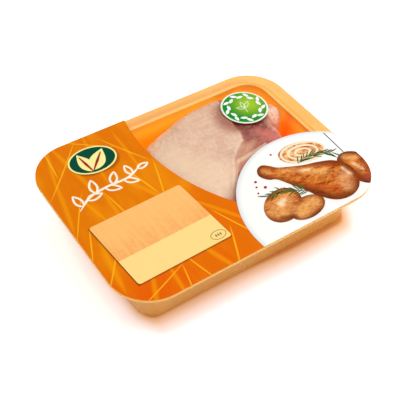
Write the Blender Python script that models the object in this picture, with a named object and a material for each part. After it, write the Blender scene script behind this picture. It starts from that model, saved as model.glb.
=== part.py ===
"""Sealed retail pack of one raw turkey drumstick.

A shallow thermoformed tray with a wide sealing flange holds the drumstick. A clear lid film closes it.
The film carries an orange printed label, a white printed plate, a bare two-tone panel, an oval badge and a
round sticker. Lengths below are in millimetres and are scaled to metres as each mesh is made. +Z is up, +X
runs along the tray's long side, +Y points to its back, and the origin is the middle of the tray's base.
"""
from math import acos, asin, atan2, copysign, cos, hypot, pi, radians, sin, sqrt

import bmesh
import bpy

MM = 0.001

# ---- The pack as a whole ------------------------------------------------------------------------
PACK_LENGTH = 262.0
PACK_WIDTH = 192.0
LID_CORNER = 38.0
TRAY_HEIGHT = 51.7
WALL = 0.9
GAP = 0.3

# ---- Tray ---------------------------------------------------------------------------------------
FLANGE_THICKNESS = 1.0
FLANGE_LIP = 2.4
LIP_WALL = 0.8
EDGE_ROUND = 0.6
STEP_RUN = 1.5
STEP_ROUND = 0.35
FLANGE_END_WIDTH = 13.2
FLANGE_SIDE_WIDTH = 10.4
LEDGE_DROP = 1.5
LEDGE_END_INSET = 15.4
LEDGE_SIDE_INSET = 12.0
LEDGE_CORNER = 22.0
LEDGE_FOLD = 1.2
FOLD_ROUND = 0.4
BASE_END_INSET = 24.0
BASE_SIDE_INSET = 19.6
BASE_CORNER = 15.0
BASE_BOW = 5.0
BASE_FILLET = 3.2
FLOOR_THICKNESS = 1.0
CORNER_STEPS = 6
SIDE_STEPS = 6

# ---- Lid film and what is printed or stuck on it ------------------------------------------------
FILM_THICKNESS = 0.35
PRINT_THICKNESS = 0.3
PATCH_THICKNESS = 0.25
PRINT_MARGIN = 0.3
WINDOW_CENTRE = (150.0, 58.0)
WINDOW_RADIUS = 179.4
PLATE_CENTRE = (76.0, -85.0)
PLATE_RADIUS = 84.0
STICKER_CENTRE = (80.6, 51.0)
STICKER_RADIUS = 22.8
PANEL_CENTRE = (-70.0, -38.2)
PANEL_LENGTH, PANEL_WIDTH = 89.0, 69.5
PANEL_CORNER = 2.5
PANEL_TURN = 2.5
BADGE_CENTRE = (-76.0, 64.9)
BADGE_LENGTH, BADGE_WIDTH = 45.2, 33.1
BADGE_TURN = -3.5
ARC_STEPS = 14

# ---- Drumstick ----------------------------------------------------------------------------------
# Stations from the cut hock at the left to the thick end at the right: x, front y, back y, lowest z,
# highest z, squareness of the back half, squareness of the front half, and how far the top leans back.
STATIONS = (
    (-108.0, -13.0, -7.0, 14.0, 20.0, 2.2, 2.2, 0.0),
    (-105.0, -22.0, 3.0, 7.0, 28.0, 2.2, 2.2, 0.0),
    (-98.0, -25.0, 9.0, 1.4, 34.0, 2.3, 2.3, 0.0),
    (-87.0, -23.0, 10.0, 1.8, 34.0, 2.2, 2.2, 0.0),
    (-74.0, -24.0, 20.0, 1.4, 37.0, 2.2, 2.2, 1.0),
    (-52.0, -34.0, 44.0, 1.4, 43.0, 2.3, 2.3, 3.5),
    (-28.0, -43.0, 61.4, 1.4, 48.0, 3.1, 2.5, 5.0),
    (0.0, -48.0, 70.8, 1.4, 50.8, 3.7, 2.6, 6.0),
    (30.0, -49.0, 75.2, 1.4, 51.3, 5.2, 2.8, 7.4),
    (55.0, -46.0, 76.9, 1.4, 51.3, 5.8, 2.8, 8.0),
    (75.0, -29.0, 76.0, 1.4, 51.3, 5.4, 2.8, 7.2),
    (91.5, -8.0, 71.0, 1.6, 50.5, 4.6, 2.8, 5.5),
    (94.5, 6.0, 68.0, 2.4, 50.3, 4.0, 2.6, 5.0),
    (97.5, 18.5, 64.5, 5.0, 50.0, 3.4, 2.6, 4.0),
    (103.0, 24.5, 58.5, 12.0, 49.4, 2.8, 2.6, 3.0),
    (109.2, 29.5, 51.0, 28.0, 48.4, 2.4, 2.4, 1.0),
    (112.4, 35.0, 45.0, 39.0, 47.0, 2.2, 2.2, 0.0),
)
RING_COUNT = 82
RING_POINTS = 38
END_CROWDING = 0.55
SKIN_EDGE = ((70.0, 62.0), (59.0, 34.0), (51.0, 16.0), (39.0, 6.0), (27.0, -9.0), (18.0, -24.0), (8.0, -46.0))
SKIN_STEP = 1.8
SKIN_STEP_WIDTH = 3.0
FAT_FOLD_START, FAT_FOLD_END = (54.0, 14.0), (27.0, -26.0)
FAT_FOLD_OFFSET = 7.0
FAT_FOLD_HEIGHT = 2.6
FAT_FOLD_WIDTH = 6.0
MUSCLE_PITCH = 21.0
MUSCLE_DEPTH = 0.8
CUFF_X = -93.0
CUFF_HEIGHT = 1.2


def clear_scene():
    """Remove every object of the scene."""
    for item in list(bpy.data.objects):
        bpy.data.objects.remove(item, do_unlink=True)


def make_material(name, colour, roughness, transmission=0.0, alpha=1.0):
    """Return a Principled material of one linear colour."""
    material = bpy.data.materials.new(name)
    material.use_nodes = True
    shader = material.node_tree.nodes["Principled BSDF"]
    shader.inputs["Base Color"].default_value = (*colour, 1.0)
    shader.inputs["Roughness"].default_value = roughness
    shader.inputs["Metallic"].default_value = 0.0
    shader.inputs["Transmission Weight"].default_value = transmission
    shader.inputs["Alpha"].default_value = alpha
    material.diffuse_color = (*colour, alpha)
    return material


def closed_loft(name, rings, material, smooth_angle=35.0):
    """Join rings of equal length, in order, and close both ends with flat caps."""
    mesh = bpy.data.meshes.new(name)
    model = bmesh.new()
    loops = [[model.verts.new((x * MM, y * MM, z * MM)) for x, y, z in ring] for ring in rings]
    count = len(loops[0])
    for lower, upper in zip(loops, loops[1:]):
        for i in range(count):
            j = (i + 1) % count
            model.faces.new((lower[i], lower[j], upper[j], upper[i]))
    model.faces.new(list(reversed(loops[0])))
    model.faces.new(loops[-1])
    bmesh.ops.recalc_face_normals(model, faces=model.faces)
    bmesh.ops.triangulate(model, faces=[face for face in model.faces if len(face.verts) > 4])
    model.to_mesh(mesh)
    model.free()
    mesh.materials.append(material)
    mesh.shade_smooth()
    mesh.set_sharp_from_angle(angle=radians(smooth_angle))
    body = bpy.data.objects.new(name, mesh)
    bpy.context.scene.collection.objects.link(body)
    return body


def flat_sheet(name, outline, bottom, thickness, material):
    """A thin flat sheet of the given outline."""
    rings = [[(x, y, z) for x, y in outline] for z in (bottom, bottom + thickness)]
    return closed_loft(name, rings, material)


def arc(centre, radius, start, end, steps):
    """Points along an arc, both ends included; angles in radians."""
    angles = [start + (end - start) * i / steps for i in range(steps + 1)]
    return [(centre[0] + radius * cos(a), centre[1] + radius * sin(a)) for a in angles]


def rounded_box(left, right, front, back, radius, steps):
    """Outline of a rectangle with round corners, counterclockwise from its front right corner."""
    corners = (
        ((right - radius, front + radius), -pi / 2),
        ((right - radius, back - radius), 0.0),
        ((left + radius, back - radius), pi / 2),
        ((left + radius, front + radius), pi),
    )
    outline = []
    for centre, start in corners:
        outline += arc(centre, radius, start, start + pi / 2, steps)
    return outline


# ---- Tray ---------------------------------------------------------------------------------------
def tray_outline(end_inset, side_inset, radius, bow):
    """One level of the tray: a round-cornered rectangle whose short sides bow out by `bow`."""
    half_x = PACK_LENGTH / 2 - end_inset
    half_y = PACK_WIDTH / 2 - side_inset
    corners = rounded_box(-half_x, half_x, -half_y, half_y, radius, CORNER_STEPS)
    outline = []
    for i, (x, y) in enumerate(corners):
        outline.append((x, y))
        if i % (CORNER_STEPS + 1) == CORNER_STEPS:
            next_x, next_y = corners[(i + 1) % len(corners)]
            for k in range(1, SIDE_STEPS):
                t = k / SIDE_STEPS
                outline.append((x + (next_x - x) * t, y + (next_y - y) * t))
    bowed = []
    for x, y in outline:
        reach = (abs(x) / half_x) ** 4 * (1 - (y / half_y) ** 2)
        bowed.append((x + copysign(bow * reach, x), y))
    return bowed


def tray_level(share, offset, height):
    """A ring of the tapered wall; share runs from 0 at the ledge to 1 at the base."""
    end_inset = LEDGE_END_INSET + (BASE_END_INSET - LEDGE_END_INSET) * share + offset
    side_inset = LEDGE_SIDE_INSET + (BASE_SIDE_INSET - LEDGE_SIDE_INSET) * share + offset
    radius = LEDGE_CORNER + (BASE_CORNER - LEDGE_CORNER) * share - offset
    return (end_inset, side_inset, radius, BASE_BOW * share, height)


def step_level(run, height):
    """A ring of the step from the flange down to the ledge, `run` inside the flange's inner edge."""
    corner = LID_CORNER - FLANGE_SIDE_WIDTH
    return (FLANGE_END_WIDTH + run, FLANGE_SIDE_WIDTH + run, corner - run, 0.0, height)


def edge_level(inset, height):
    """A ring near the flange's outer edge."""
    return (inset, inset, LID_CORNER - inset, 0.0, height)


def build_tray(material):
    """The tray as one body: up the outside, over the flange, and down the inside."""
    top = TRAY_HEIGHT
    under = top - FLANGE_THICKNESS
    lip = top - FLANGE_LIP
    ledge = top - LEDGE_DROP
    fillet = BASE_FILLET
    middle = (ledge + fillet) / 2
    levels = [
        tray_level(1.0, fillet, 0.0),
        tray_level(1.0, fillet * 0.45, fillet * 0.12),
        tray_level(1.0, fillet * 0.12, fillet * 0.45),
        tray_level(0.95, 0.0, fillet),
        tray_level(0.5, 0.0, middle),
        tray_level(0.0, 0.0, ledge - WALL - 3 * FOLD_ROUND),
        tray_level(0.0, -FOLD_ROUND, ledge - WALL - FOLD_ROUND),
        step_level(STEP_RUN / 2, ledge - WALL),
        step_level(-EDGE_ROUND / 2, under),
        edge_level(LIP_WALL + FOLD_ROUND, under),
        edge_level(LIP_WALL, lip),
        edge_level(0.0, lip),
        edge_level(0.0, top - EDGE_ROUND),
        edge_level(EDGE_ROUND, top),
        step_level(-EDGE_ROUND, top),
        step_level(0.0, top - STEP_ROUND),
        step_level(STEP_RUN / 2, ledge + STEP_ROUND),
        step_level(STEP_RUN, ledge),
        tray_level(0.0, LEDGE_FOLD - FOLD_ROUND, ledge),
        tray_level(0.0, LEDGE_FOLD, ledge - FOLD_ROUND),
        tray_level(0.5, WALL, middle),
        tray_level(0.95, WALL, fillet + WALL),
        tray_level(1.0, WALL + fillet * 0.15, fillet * 0.4 + WALL),
        tray_level(1.0, WALL + fillet * 0.9, FLOOR_THICKNESS),
    ]
    rings = []
    for end_inset, side_inset, radius, bow, height in levels:
        rings.append([(x, y, height) for x, y in tray_outline(end_inset, side_inset, radius, bow)])
    return closed_loft("tray", rings, material)


# ---- Lid film, print and stickers ----------------------------------------------------------------
def lid_outline(margin):
    """Outline of the lid, `margin` inside the tray's edge."""
    half_x = PACK_LENGTH / 2 - margin
    half_y = PACK_WIDTH / 2 - margin
    return rounded_box(-half_x, half_x, -half_y, half_y, LID_CORNER - margin, 2 * CORNER_STEPS)


def circle_crossing(centre_a, radius_a, centre_b, radius_b):
    """The two crossing points of two circles."""
    dx, dy = centre_b[0] - centre_a[0], centre_b[1] - centre_a[1]
    distance = hypot(dx, dy)
    along = (distance ** 2 + radius_a ** 2 - radius_b ** 2) / (2 * distance)
    across = sqrt(radius_a ** 2 - along ** 2)
    ux, uy = dx / distance, dy / distance
    x, y = centre_a[0] + ux * along, centre_a[1] + uy * along
    return (x - uy * across, y + ux * across), (x + uy * across, y - ux * across)


def angle_at(centre, point):
    """Direction of a point from a centre, from 0 to a full turn."""
    return atan2(point[1] - centre[1], point[0] - centre[0]) % (2 * pi)


def label_outline():
    """The orange field: all of the lid's left, down to the window's arc and round the plate."""
    half_x = PACK_LENGTH / 2 - PRINT_MARGIN
    half_y = PACK_WIDTH / 2 - PRINT_MARGIN
    radius = LID_CORNER - PRINT_MARGIN
    plate_radius = PLATE_RADIUS + GAP
    crossing = min(circle_crossing(WINDOW_CENTRE, WINDOW_RADIUS, PLATE_CENTRE, plate_radius))
    window_top = pi - asin((half_y - WINDOW_CENTRE[1]) / WINDOW_RADIUS)
    plate_foot = pi + asin((half_y + PLATE_CENTRE[1]) / plate_radius)
    outline = arc((-half_x + radius, half_y - radius), radius, pi / 2, pi, 2 * CORNER_STEPS)
    outline += arc((-half_x + radius, -half_y + radius), radius, pi, 1.5 * pi, 2 * CORNER_STEPS)
    outline += arc(PLATE_CENTRE, plate_radius, plate_foot, angle_at(PLATE_CENTRE, crossing), ARC_STEPS)
    outline += arc(
        WINDOW_CENTRE, WINDOW_RADIUS, angle_at(WINDOW_CENTRE, crossing), window_top, ARC_STEPS
    )[1:]
    return outline


def plate_outline():
    """The white disc, cut off by the lid's front edge, right edge and corner."""
    half_x = PACK_LENGTH / 2 - PRINT_MARGIN
    half_y = PACK_WIDTH / 2 - PRINT_MARGIN
    radius = LID_CORNER - PRINT_MARGIN
    foot = pi + asin((half_y + PLATE_CENTRE[1]) / PLATE_RADIUS)
    right = acos((half_x - PLATE_CENTRE[0]) / PLATE_RADIUS)
    outline = arc((half_x - radius, -half_y + radius), radius, -pi / 2, 0.0, 2 * CORNER_STEPS)
    outline += arc(PLATE_CENTRE, PLATE_RADIUS, right, foot, 2 * ARC_STEPS)
    return outline


def ellipse(centre, length, width, steps, turn=0.0):
    """Outline of an ellipse whose long axis is turned from X by some degrees."""
    cosine, sine = cos(radians(turn)), sin(radians(turn))
    outline = []
    for i in range(steps):
        u, v = length / 2 * cos(2 * pi * i / steps), width / 2 * sin(2 * pi * i / steps)
        outline.append((centre[0] + u * cosine - v * sine, centre[1] + u * sine + v * cosine))
    return outline


def panel_outline():
    """The round-cornered panel, turned a little about its own middle."""
    half_x, half_y = PANEL_LENGTH / 2, PANEL_WIDTH / 2
    cosine, sine = cos(radians(PANEL_TURN)), sin(radians(PANEL_TURN))
    outline = []
    for u, v in rounded_box(-half_x, half_x, -half_y, half_y, PANEL_CORNER, CORNER_STEPS // 2):
        outline.append((PANEL_CENTRE[0] + u * cosine - v * sine, PANEL_CENTRE[1] + u * sine + v * cosine))
    return outline


def build_lid(materials):
    """The clear film and every sheet that lies on it, each a gap above the one below."""
    film_bottom = TRAY_HEIGHT + GAP
    print_bottom = film_bottom + FILM_THICKNESS + GAP
    patch_bottom = print_bottom + PRINT_THICKNESS + GAP
    flat_sheet("lid_film", lid_outline(PRINT_MARGIN), film_bottom, FILM_THICKNESS, materials["film"])
    flat_sheet("orange_label", label_outline(), print_bottom, PRINT_THICKNESS, materials["orange"])
    flat_sheet("plate_print", plate_outline(), print_bottom, PRINT_THICKNESS, materials["white"])
    sticker = ellipse(STICKER_CENTRE, 2 * STICKER_RADIUS, 2 * STICKER_RADIUS, 4 * ARC_STEPS)
    flat_sheet("round_sticker", sticker, print_bottom, PRINT_THICKNESS, materials["green"])
    flat_sheet("label_panel", panel_outline(), patch_bottom, PATCH_THICKNESS, materials["straw"])
    badge = ellipse(BADGE_CENTRE, BADGE_LENGTH, BADGE_WIDTH, 3 * ARC_STEPS, BADGE_TURN)
    flat_sheet("oval_badge", badge, patch_bottom, PATCH_THICKNESS, materials["cream"])


# ---- Drumstick ----------------------------------------------------------------------------------
def smooth_step(low, high, value):
    """Rise smoothly from 0 at low to 1 at high."""
    t = min(max((value - low) / (high - low), 0.0), 1.0)
    return t * t * (3 - 2 * t)


def station_slopes(column):
    """Slopes at the stations that keep the curve between them free of overshoot."""
    x = [station[0] for station in STATIONS]
    y = [station[column] for station in STATIONS]
    steps = [(y[i + 1] - y[i]) / (x[i + 1] - x[i]) for i in range(len(x) - 1)]
    slopes = [steps[0]]
    for before, after in zip(steps, steps[1:]):
        slopes.append(2 * before * after / (before + after) if before * after > 0 else 0.0)
    return slopes + [steps[-1]]


def section_values(x, slopes):
    """The seven values of the section at x, on a smooth curve through the stations."""
    i = 0
    while i < len(STATIONS) - 2 and x > STATIONS[i + 1][0]:
        i += 1
    low, high = STATIONS[i], STATIONS[i + 1]
    span = high[0] - low[0]
    t = (x - low[0]) / span
    values = []
    for column in range(1, len(low)):
        rise = slopes[column - 1]
        values.append(
            (2 * t ** 3 - 3 * t ** 2 + 1) * low[column]
            + (t ** 3 - 2 * t ** 2 + t) * span * rise[i]
            + (3 * t ** 2 - 2 * t ** 3) * high[column]
            + (t ** 3 - t ** 2) * span * rise[i + 1]
        )
    return values


def section_point(angle, values):
    """A point (y, z) of one section, a rounded box whose two halves differ in squareness."""
    front, back, bottom, top, square_back, square_front, lean = values
    square = square_back if cos(angle) > 0 else square_front
    across = copysign(abs(cos(angle)) ** (2 / square), cos(angle))
    up = copysign(abs(sin(angle)) ** (2 / square), sin(angle))
    y = (front + back) / 2 + (back - front) / 2 * across + lean * up
    return y, (bottom + top) / 2 + (top - bottom) / 2 * up


def even_section(values, count):
    """Points at even steps round the section, from its back and over its top."""
    fine = [section_point(2 * pi * i / 480, values) for i in range(481)]
    lengths = [0.0]
    for a, b in zip(fine, fine[1:]):
        lengths.append(lengths[-1] + hypot(b[0] - a[0], b[1] - a[1]))
    points = []
    i = 0
    for k in range(count):
        target = lengths[-1] * k / count
        while lengths[i + 1] < target:
            i += 1
        t = (target - lengths[i]) / (lengths[i + 1] - lengths[i])
        points.append((fine[i][0] + (fine[i + 1][0] - fine[i][0]) * t,
                       fine[i][1] + (fine[i + 1][1] - fine[i][1]) * t))
    return points


def past_skin_edge(x, y):
    """How far a point lies beyond the skin's edge, towards the bare meat; negative on the skin."""
    points = SKIN_EDGE
    if y >= points[0][1]:
        return x - points[0][0]
    for (x0, y0), (x1, y1) in zip(points, points[1:]):
        if y >= y1:
            return x - (x0 + (x1 - x0) * (y - y0) / (y1 - y0))
    return x - points[-1][0]


def distance_to_line(x, y, start, end):
    """Distance from a point to the straight line between two points."""
    dx, dy = end[0] - start[0], end[1] - start[1]
    t = ((x - start[0]) * dx + (y - start[1]) * dy) / (dx * dx + dy * dy)
    t = min(max(t, 0.0), 1.0)
    return hypot(x - start[0] - dx * t, y - start[1] - dy * t)


def top_relief(x, y):
    """Height of the skin's edge, the fat fold and the muscle bundles over the plain top, mostly below it."""
    bare = smooth_step(0.0, SKIN_STEP_WIDTH, past_skin_edge(x, y))
    start = (FAT_FOLD_START[0] + FAT_FOLD_OFFSET, FAT_FOLD_START[1])
    end = (FAT_FOLD_END[0] + FAT_FOLD_OFFSET, FAT_FOLD_END[1])
    fold = 1 - smooth_step(0.0, FAT_FOLD_WIDTH, distance_to_line(x, y, start, end))
    bundles = 0.5 - 0.5 * cos(2 * pi * (y + 0.35 * x) / MUSCLE_PITCH)
    return bare * (FAT_FOLD_HEIGHT * fold * 0.6 - SKIN_STEP - MUSCLE_DEPTH * bundles * (1 - fold))


def build_drumstick(material):
    """The drumstick lying on its side: hock at the left, skin over most of it, bare meat at the right."""
    slopes = [station_slopes(column) for column in range(1, len(STATIONS[0]))]
    first, last = STATIONS[0][0], STATIONS[-1][0]
    rings = []
    for k in range(RING_COUNT):
        even = k / (RING_COUNT - 1)
        crowded = 0.5 - 0.5 * cos(pi * even)
        x = first + (last - first) * (even + (crowded - even) * END_CROWDING)
        values = section_values(x, slopes)
        middle, half = (values[2] + values[3]) / 2, (values[3] - values[2]) / 2
        cuff = CUFF_HEIGHT * smooth_step(CUFF_X - 2, CUFF_X, x) * (1 - smooth_step(CUFF_X, CUFF_X + 9, x))
        ring = []
        for y, z in even_section(values, RING_POINTS):
            upward = smooth_step(0.1, 0.7, (z - middle) / half)
            swell = 1 + cuff / half if z > middle else 1
            z = middle + (z - middle) * swell + top_relief(x, y) * upward
            ring.append((x, y, z))
        rings.append(ring)
    return closed_loft("drumstick", rings, material, 60.0)


def main():
    """Build the pack."""
    clear_scene()
    lid_materials = {
        "film": make_material("lid film", (0.90, 0.93, 0.95), 0.08, 1.0, 0.25),
        "orange": make_material("orange print", (0.80, 0.18, 0.002), 0.35),
        "white": make_material("white print", (0.90, 0.90, 0.88), 0.35),
        "green": make_material("green sticker", (0.10, 0.42, 0.03), 0.35),
        "straw": make_material("straw print", (1.0, 0.62, 0.22), 0.4),
        "cream": make_material("cream print", (1.0, 0.90, 0.38), 0.4),
    }
    build_tray(make_material("orange tray plastic", (0.92, 0.42, 0.13), 0.3))
    build_drumstick(make_material("turkey skin and meat", (0.78, 0.50, 0.39), 0.35))
    build_lid(lid_materials)


main()
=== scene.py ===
"""Looks of a sealed retail pack: a raw turkey drumstick in an orange tray under a clear, partly printed film.

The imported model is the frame. Shape tables are in millimetres, in the frame's axes: +X along the tray's long
side, +Y to its back, +Z up from the surface that it stands on. Blender's own values are in metres.
"""
from math import acos, asin, atan2, cos, hypot, pi, radians, sin, sqrt

import bmesh
import bpy
import numpy as np
from bpy.props import FloatProperty, FloatVectorProperty, IntProperty, PointerProperty
from mathutils import Matrix, Vector, noise


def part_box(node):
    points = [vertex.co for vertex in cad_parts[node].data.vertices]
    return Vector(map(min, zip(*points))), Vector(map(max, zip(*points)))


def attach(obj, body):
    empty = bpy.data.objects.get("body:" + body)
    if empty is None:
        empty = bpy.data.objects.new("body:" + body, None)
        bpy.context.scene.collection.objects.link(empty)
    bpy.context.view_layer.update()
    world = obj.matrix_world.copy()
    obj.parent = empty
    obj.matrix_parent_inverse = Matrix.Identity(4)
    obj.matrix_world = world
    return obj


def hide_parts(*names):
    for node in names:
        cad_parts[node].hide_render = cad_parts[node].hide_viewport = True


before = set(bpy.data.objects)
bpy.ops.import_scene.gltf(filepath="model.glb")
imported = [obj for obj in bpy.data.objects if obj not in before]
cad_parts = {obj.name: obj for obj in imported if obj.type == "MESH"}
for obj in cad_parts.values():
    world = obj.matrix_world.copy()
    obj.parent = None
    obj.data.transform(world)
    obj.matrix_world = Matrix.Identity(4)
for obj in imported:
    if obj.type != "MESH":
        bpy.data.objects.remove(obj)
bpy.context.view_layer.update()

bl_info = {
    "name": "Packed Turkey Drumstick",
    "version": (1, 0, 0),
    "blender": (4, 5, 0),
    "location": "View3D > Sidebar > Drumstick Pack",
    "description": "Builds a sealed tray of raw turkey drumstick around its packed solids",
    "category": "Add Mesh",
}

MM = 0.001


def box_mm(node):
    """Lowest and highest corner of a CAD node, in millimetres."""
    low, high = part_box(node)
    return tuple(value / MM for value in low), tuple(value / MM for value in high)


def centre_of(box):
    """Middle of a box, seen from above."""
    return (box[0][0] + box[1][0]) / 2, (box[0][1] + box[1][1]) / 2


TRAY_BOX = box_mm("tray")
FILM_BOX = box_mm("lid_film")
PRINT_BOX = box_mm("orange_label")
PATCH_BOX = box_mm("label_panel")
STICKER_BOX = box_mm("round_sticker")
BADGE_BOX = box_mm("oval_badge")

HALF_LENGTH = TRAY_BOX[1][0]
HALF_WIDTH = TRAY_BOX[1][1]
TRAY_TOP = TRAY_BOX[1][2]
LID_CORNER = 38.0
INK = 0.05
INK_GAP = 0.005
PRINT_TOP = PRINT_BOX[1][2]
PATCH_TOP = PATCH_BOX[1][2]


# ---- Sizes and colours that a user may change ----------------------------------------------------
def colour_property(name, description, colour):
    """A colour swatch with linear values."""
    return FloatVectorProperty(
        name=name, description=description, default=colour, subtype="COLOR", size=3, min=0.0, max=1.0
    )


class PackSizes(bpy.types.PropertyGroup):
    """Sizes that change the look without changing the solids' size."""

    streak_width: FloatProperty(
        name="Streak width", description="Half width of the label's light streaks",
        default=0.0010, unit="LENGTH",
    )
    stroke_width: FloatProperty(
        name="Stroke width", description="Width of the white sprig's strokes", default=0.0023, unit="LENGTH"
    )
    wreath_leaves: IntProperty(
        name="Wreath leaves", description="Leaves in the sticker's ring", default=18, min=3
    )
    skin_rings: IntProperty(
        name="Skin rings", description="Sections along the drumstick", default=380, min=40
    )
    skin_points: IntProperty(
        name="Skin points", description="Points round each section", default=250, min=24
    )


class PackColours(bpy.types.PropertyGroup):
    """Linear colours of the prints, the plastic and the meat."""

    label: colour_property("Label", "Orange print", (0.70, 0.162, 0.0))
    label_warm: colour_property("Label front", "Redder orange at the label's front", (0.735, 0.100, 0.0))
    label_light: colour_property("Label light", "Golden orange of the soft patches", (0.86, 0.315, 0.002))
    streak: colour_property("Streaks", "Straw-coloured streaks on the label", (0.92, 0.43, 0.012))
    tray: colour_property("Tray", "Light orange plastic", (0.92, 0.505, 0.160))
    # Painted shade: the tray's orange darkened to tan on its outer wall.
    tray_wall_shade: colour_property("Tray wall", "Tan of the tray's outside", (0.50, 0.262, 0.054))
    # Painted glow: deep orange that stands in for light coming through the plastic into the hollow.
    tray_inside_glow: colour_property("Tray inside", "Deep orange of the hollow", (0.98, 0.290, 0.0))
    panel_back: colour_property("Panel back", "Peach half of the panel", (0.90, 0.486, 0.153))
    panel_front: colour_property("Panel front", "Straw half of the panel", (0.94, 0.650, 0.236))
    white: colour_property("White", "White print", (0.88, 0.87, 0.845))
    warm_white: colour_property("Warm white", "White sprig on the label", (0.90, 0.82, 0.66))
    dark_green: colour_property("Dark green", "Badge field", (0.001, 0.066, 0.034))
    cream: colour_property("Cream", "Badge rim and leaves", (0.91, 0.82, 0.31))
    dark_red: colour_property("Dark red", "Ribs of the badge's leaves", (0.36, 0.022, 0.018))
    sticker_middle: colour_property("Sticker middle", "Yellow-green middle", (0.34, 0.54, 0.020))
    sticker_edge: colour_property("Sticker edge", "Green edge", (0.006, 0.235, 0.022))
    skin: colour_property("Skin", "Pale skin", (0.81, 0.56, 0.39))
    skin_pink: colour_property("Skin pink", "Pinker skin", (0.70, 0.43, 0.295))
    skin_cream: colour_property("Skin cream", "Creamy middle of the skin", (0.87, 0.63, 0.43))
    meat: colour_property("Meat", "Bare rosy meat", (0.46, 0.115, 0.076))
    meat_bright: colour_property("Bright meat", "Reddest meat", (0.62, 0.125, 0.088))
    membrane: colour_property("Membrane", "Pinkish beige membrane beyond the skin", (0.61, 0.295, 0.168))
    fat: colour_property("Fat", "Light pink lobes", (0.95, 0.60, 0.42))
    fat_thread: colour_property("Fat thread", "Straw-coloured thread of fat", (0.88, 0.62, 0.41))


class StageSettings(bpy.types.PropertyGroup):
    """Camera, floor and lights."""

    lens: FloatProperty(name="Lens", description="Focal length in millimetres", default=71.48)
    distance: FloatProperty(
        name="Distance", description="From the camera to its target", default=0.6733, unit="LENGTH"
    )
    azimuth: FloatProperty(
        name="Azimuth", description="Direction of view, turned from +Y towards +X",
        default=radians(36.25), subtype="ANGLE",
    )
    elevation: FloatProperty(
        name="Elevation", description="Height of view above the horizon",
        default=radians(47.39), subtype="ANGLE",
    )
    roll: FloatProperty(
        name="Roll", description="Turn about the line of sight", default=radians(2.84), subtype="ANGLE"
    )
    world: FloatProperty(name="World", description="Strength of the even white light", default=0.80)
    key: FloatProperty(name="Key", description="Power of the large soft light, in watts", default=13.5)
    table: FloatProperty(name="Table", description="Light that the white table itself gives", default=0.50)


# ---- Small helpers for meshes --------------------------------------------------------------------
def smooth_step(low, high, value):
    """Rise smoothly from 0 at low to 1 at high, for numbers or arrays."""
    t = np.clip((np.asarray(value, float) - low) / (high - low), 0.0, 1.0)
    return t * t * (3 - 2 * t)


def link_mesh(name, mesh, material, smooth=True):
    """Put a finished mesh in the scene as an object at the origin."""
    if material is not None:
        mesh.materials.append(material)
    if smooth:
        mesh.shade_smooth()
        mesh.set_sharp_from_angle(angle=radians(40))
    piece = bpy.data.objects.new(name, mesh)
    bpy.context.scene.collection.objects.link(piece)
    return piece


def settle(piece, slot, *nodes):
    """Let a piece ride with the pack and stand for the CAD nodes named; its slot is not used."""
    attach(piece, "root")
    if nodes:
        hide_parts(*nodes)
    return piece


def loft_mesh(name, rings):
    """A closed mesh through rings of equal length; each end closes on its middle point."""
    rings = np.asarray(rings, float)
    levels, count, _ = rings.shape
    points = rings.reshape(-1, 3)
    low, high = rings[0].mean(0), rings[-1].mean(0)
    points = np.vstack([points, low, high]) * MM
    faces = []
    for k in range(levels - 1):
        for i in range(count):
            j = (i + 1) % count
            faces.append((k * count + i, k * count + j, (k + 1) * count + j, (k + 1) * count + i))
    foot, head, last = levels * count, levels * count + 1, (levels - 1) * count
    for i in range(count):
        j = (i + 1) % count
        faces.append((foot, j, i))
        faces.append((head, last + i, last + j))
    mesh = bpy.data.meshes.new(name)
    mesh.from_pydata(points.tolist(), [], faces)
    model = bmesh.new()
    model.from_mesh(mesh)
    bmesh.ops.recalc_face_normals(model, faces=model.faces)
    model.to_mesh(mesh)
    model.free()
    return mesh


def add_masks(mesh, masks):
    """Store masks on a lofted mesh; its two end points take the values of the rings beside them."""
    for name, mask in masks.items():
        layer = mesh.attributes.new(name, "FLOAT", "POINT")
        layer.data.foreach_set("value", np.concatenate([mask, mask[:1], mask[-1:]]).astype(np.float32))


def arc(centre, radius, start, end, steps):
    """Points along an arc, both ends included; angles in radians."""
    angles = [start + (end - start) * i / steps for i in range(steps + 1)]
    return [(centre[0] + radius * cos(a), centre[1] + radius * sin(a)) for a in angles]


def rounded_box(left, right, front, back, radius, steps):
    """Outline of a rectangle with round corners, counterclockwise from its front right corner."""
    corners = (
        ((right - radius, front + radius), -pi / 2),
        ((right - radius, back - radius), 0.0),
        ((left + radius, back - radius), pi / 2),
        ((left + radius, front + radius), pi),
    )
    outline = []
    for centre, start in corners:
        outline += arc(centre, radius, start, start + pi / 2, steps)
    return outline


def ellipse(centre, length, width, steps, turn=0.0):
    """Outline of an ellipse whose long axis is turned from X."""
    outline = []
    for i in range(steps):
        a = 2 * pi * i / steps
        u, v = length / 2 * cos(a), width / 2 * sin(a)
        outline.append((centre[0] + u * cos(turn) - v * sin(turn), centre[1] + u * sin(turn) + v * cos(turn)))
    return outline


def spline(points, steps, closed=False):
    """Points on a smooth curve through the given ones (Catmull-Rom)."""
    p = [Vector(point) for point in points]
    count = len(p)
    out = []
    for i in range(count if closed else count - 1):
        before = p[i - 1] if closed or i > 0 else p[0] * 2 - p[1]
        start, end = p[i], p[(i + 1) % count]
        after = p[(i + 2) % count] if closed or i + 2 < count else end * 2 - start
        for k in range(steps):
            t = k / steps
            out.append(
                0.5 * (2 * start + (end - before) * t + (2 * before - 5 * start + 4 * end - after) * t ** 2
                       + (3 * start - before - 3 * end + after) * t ** 3)
            )
    if not closed:
        out.append(p[-1])
    return [tuple(point) for point in out]


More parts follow.
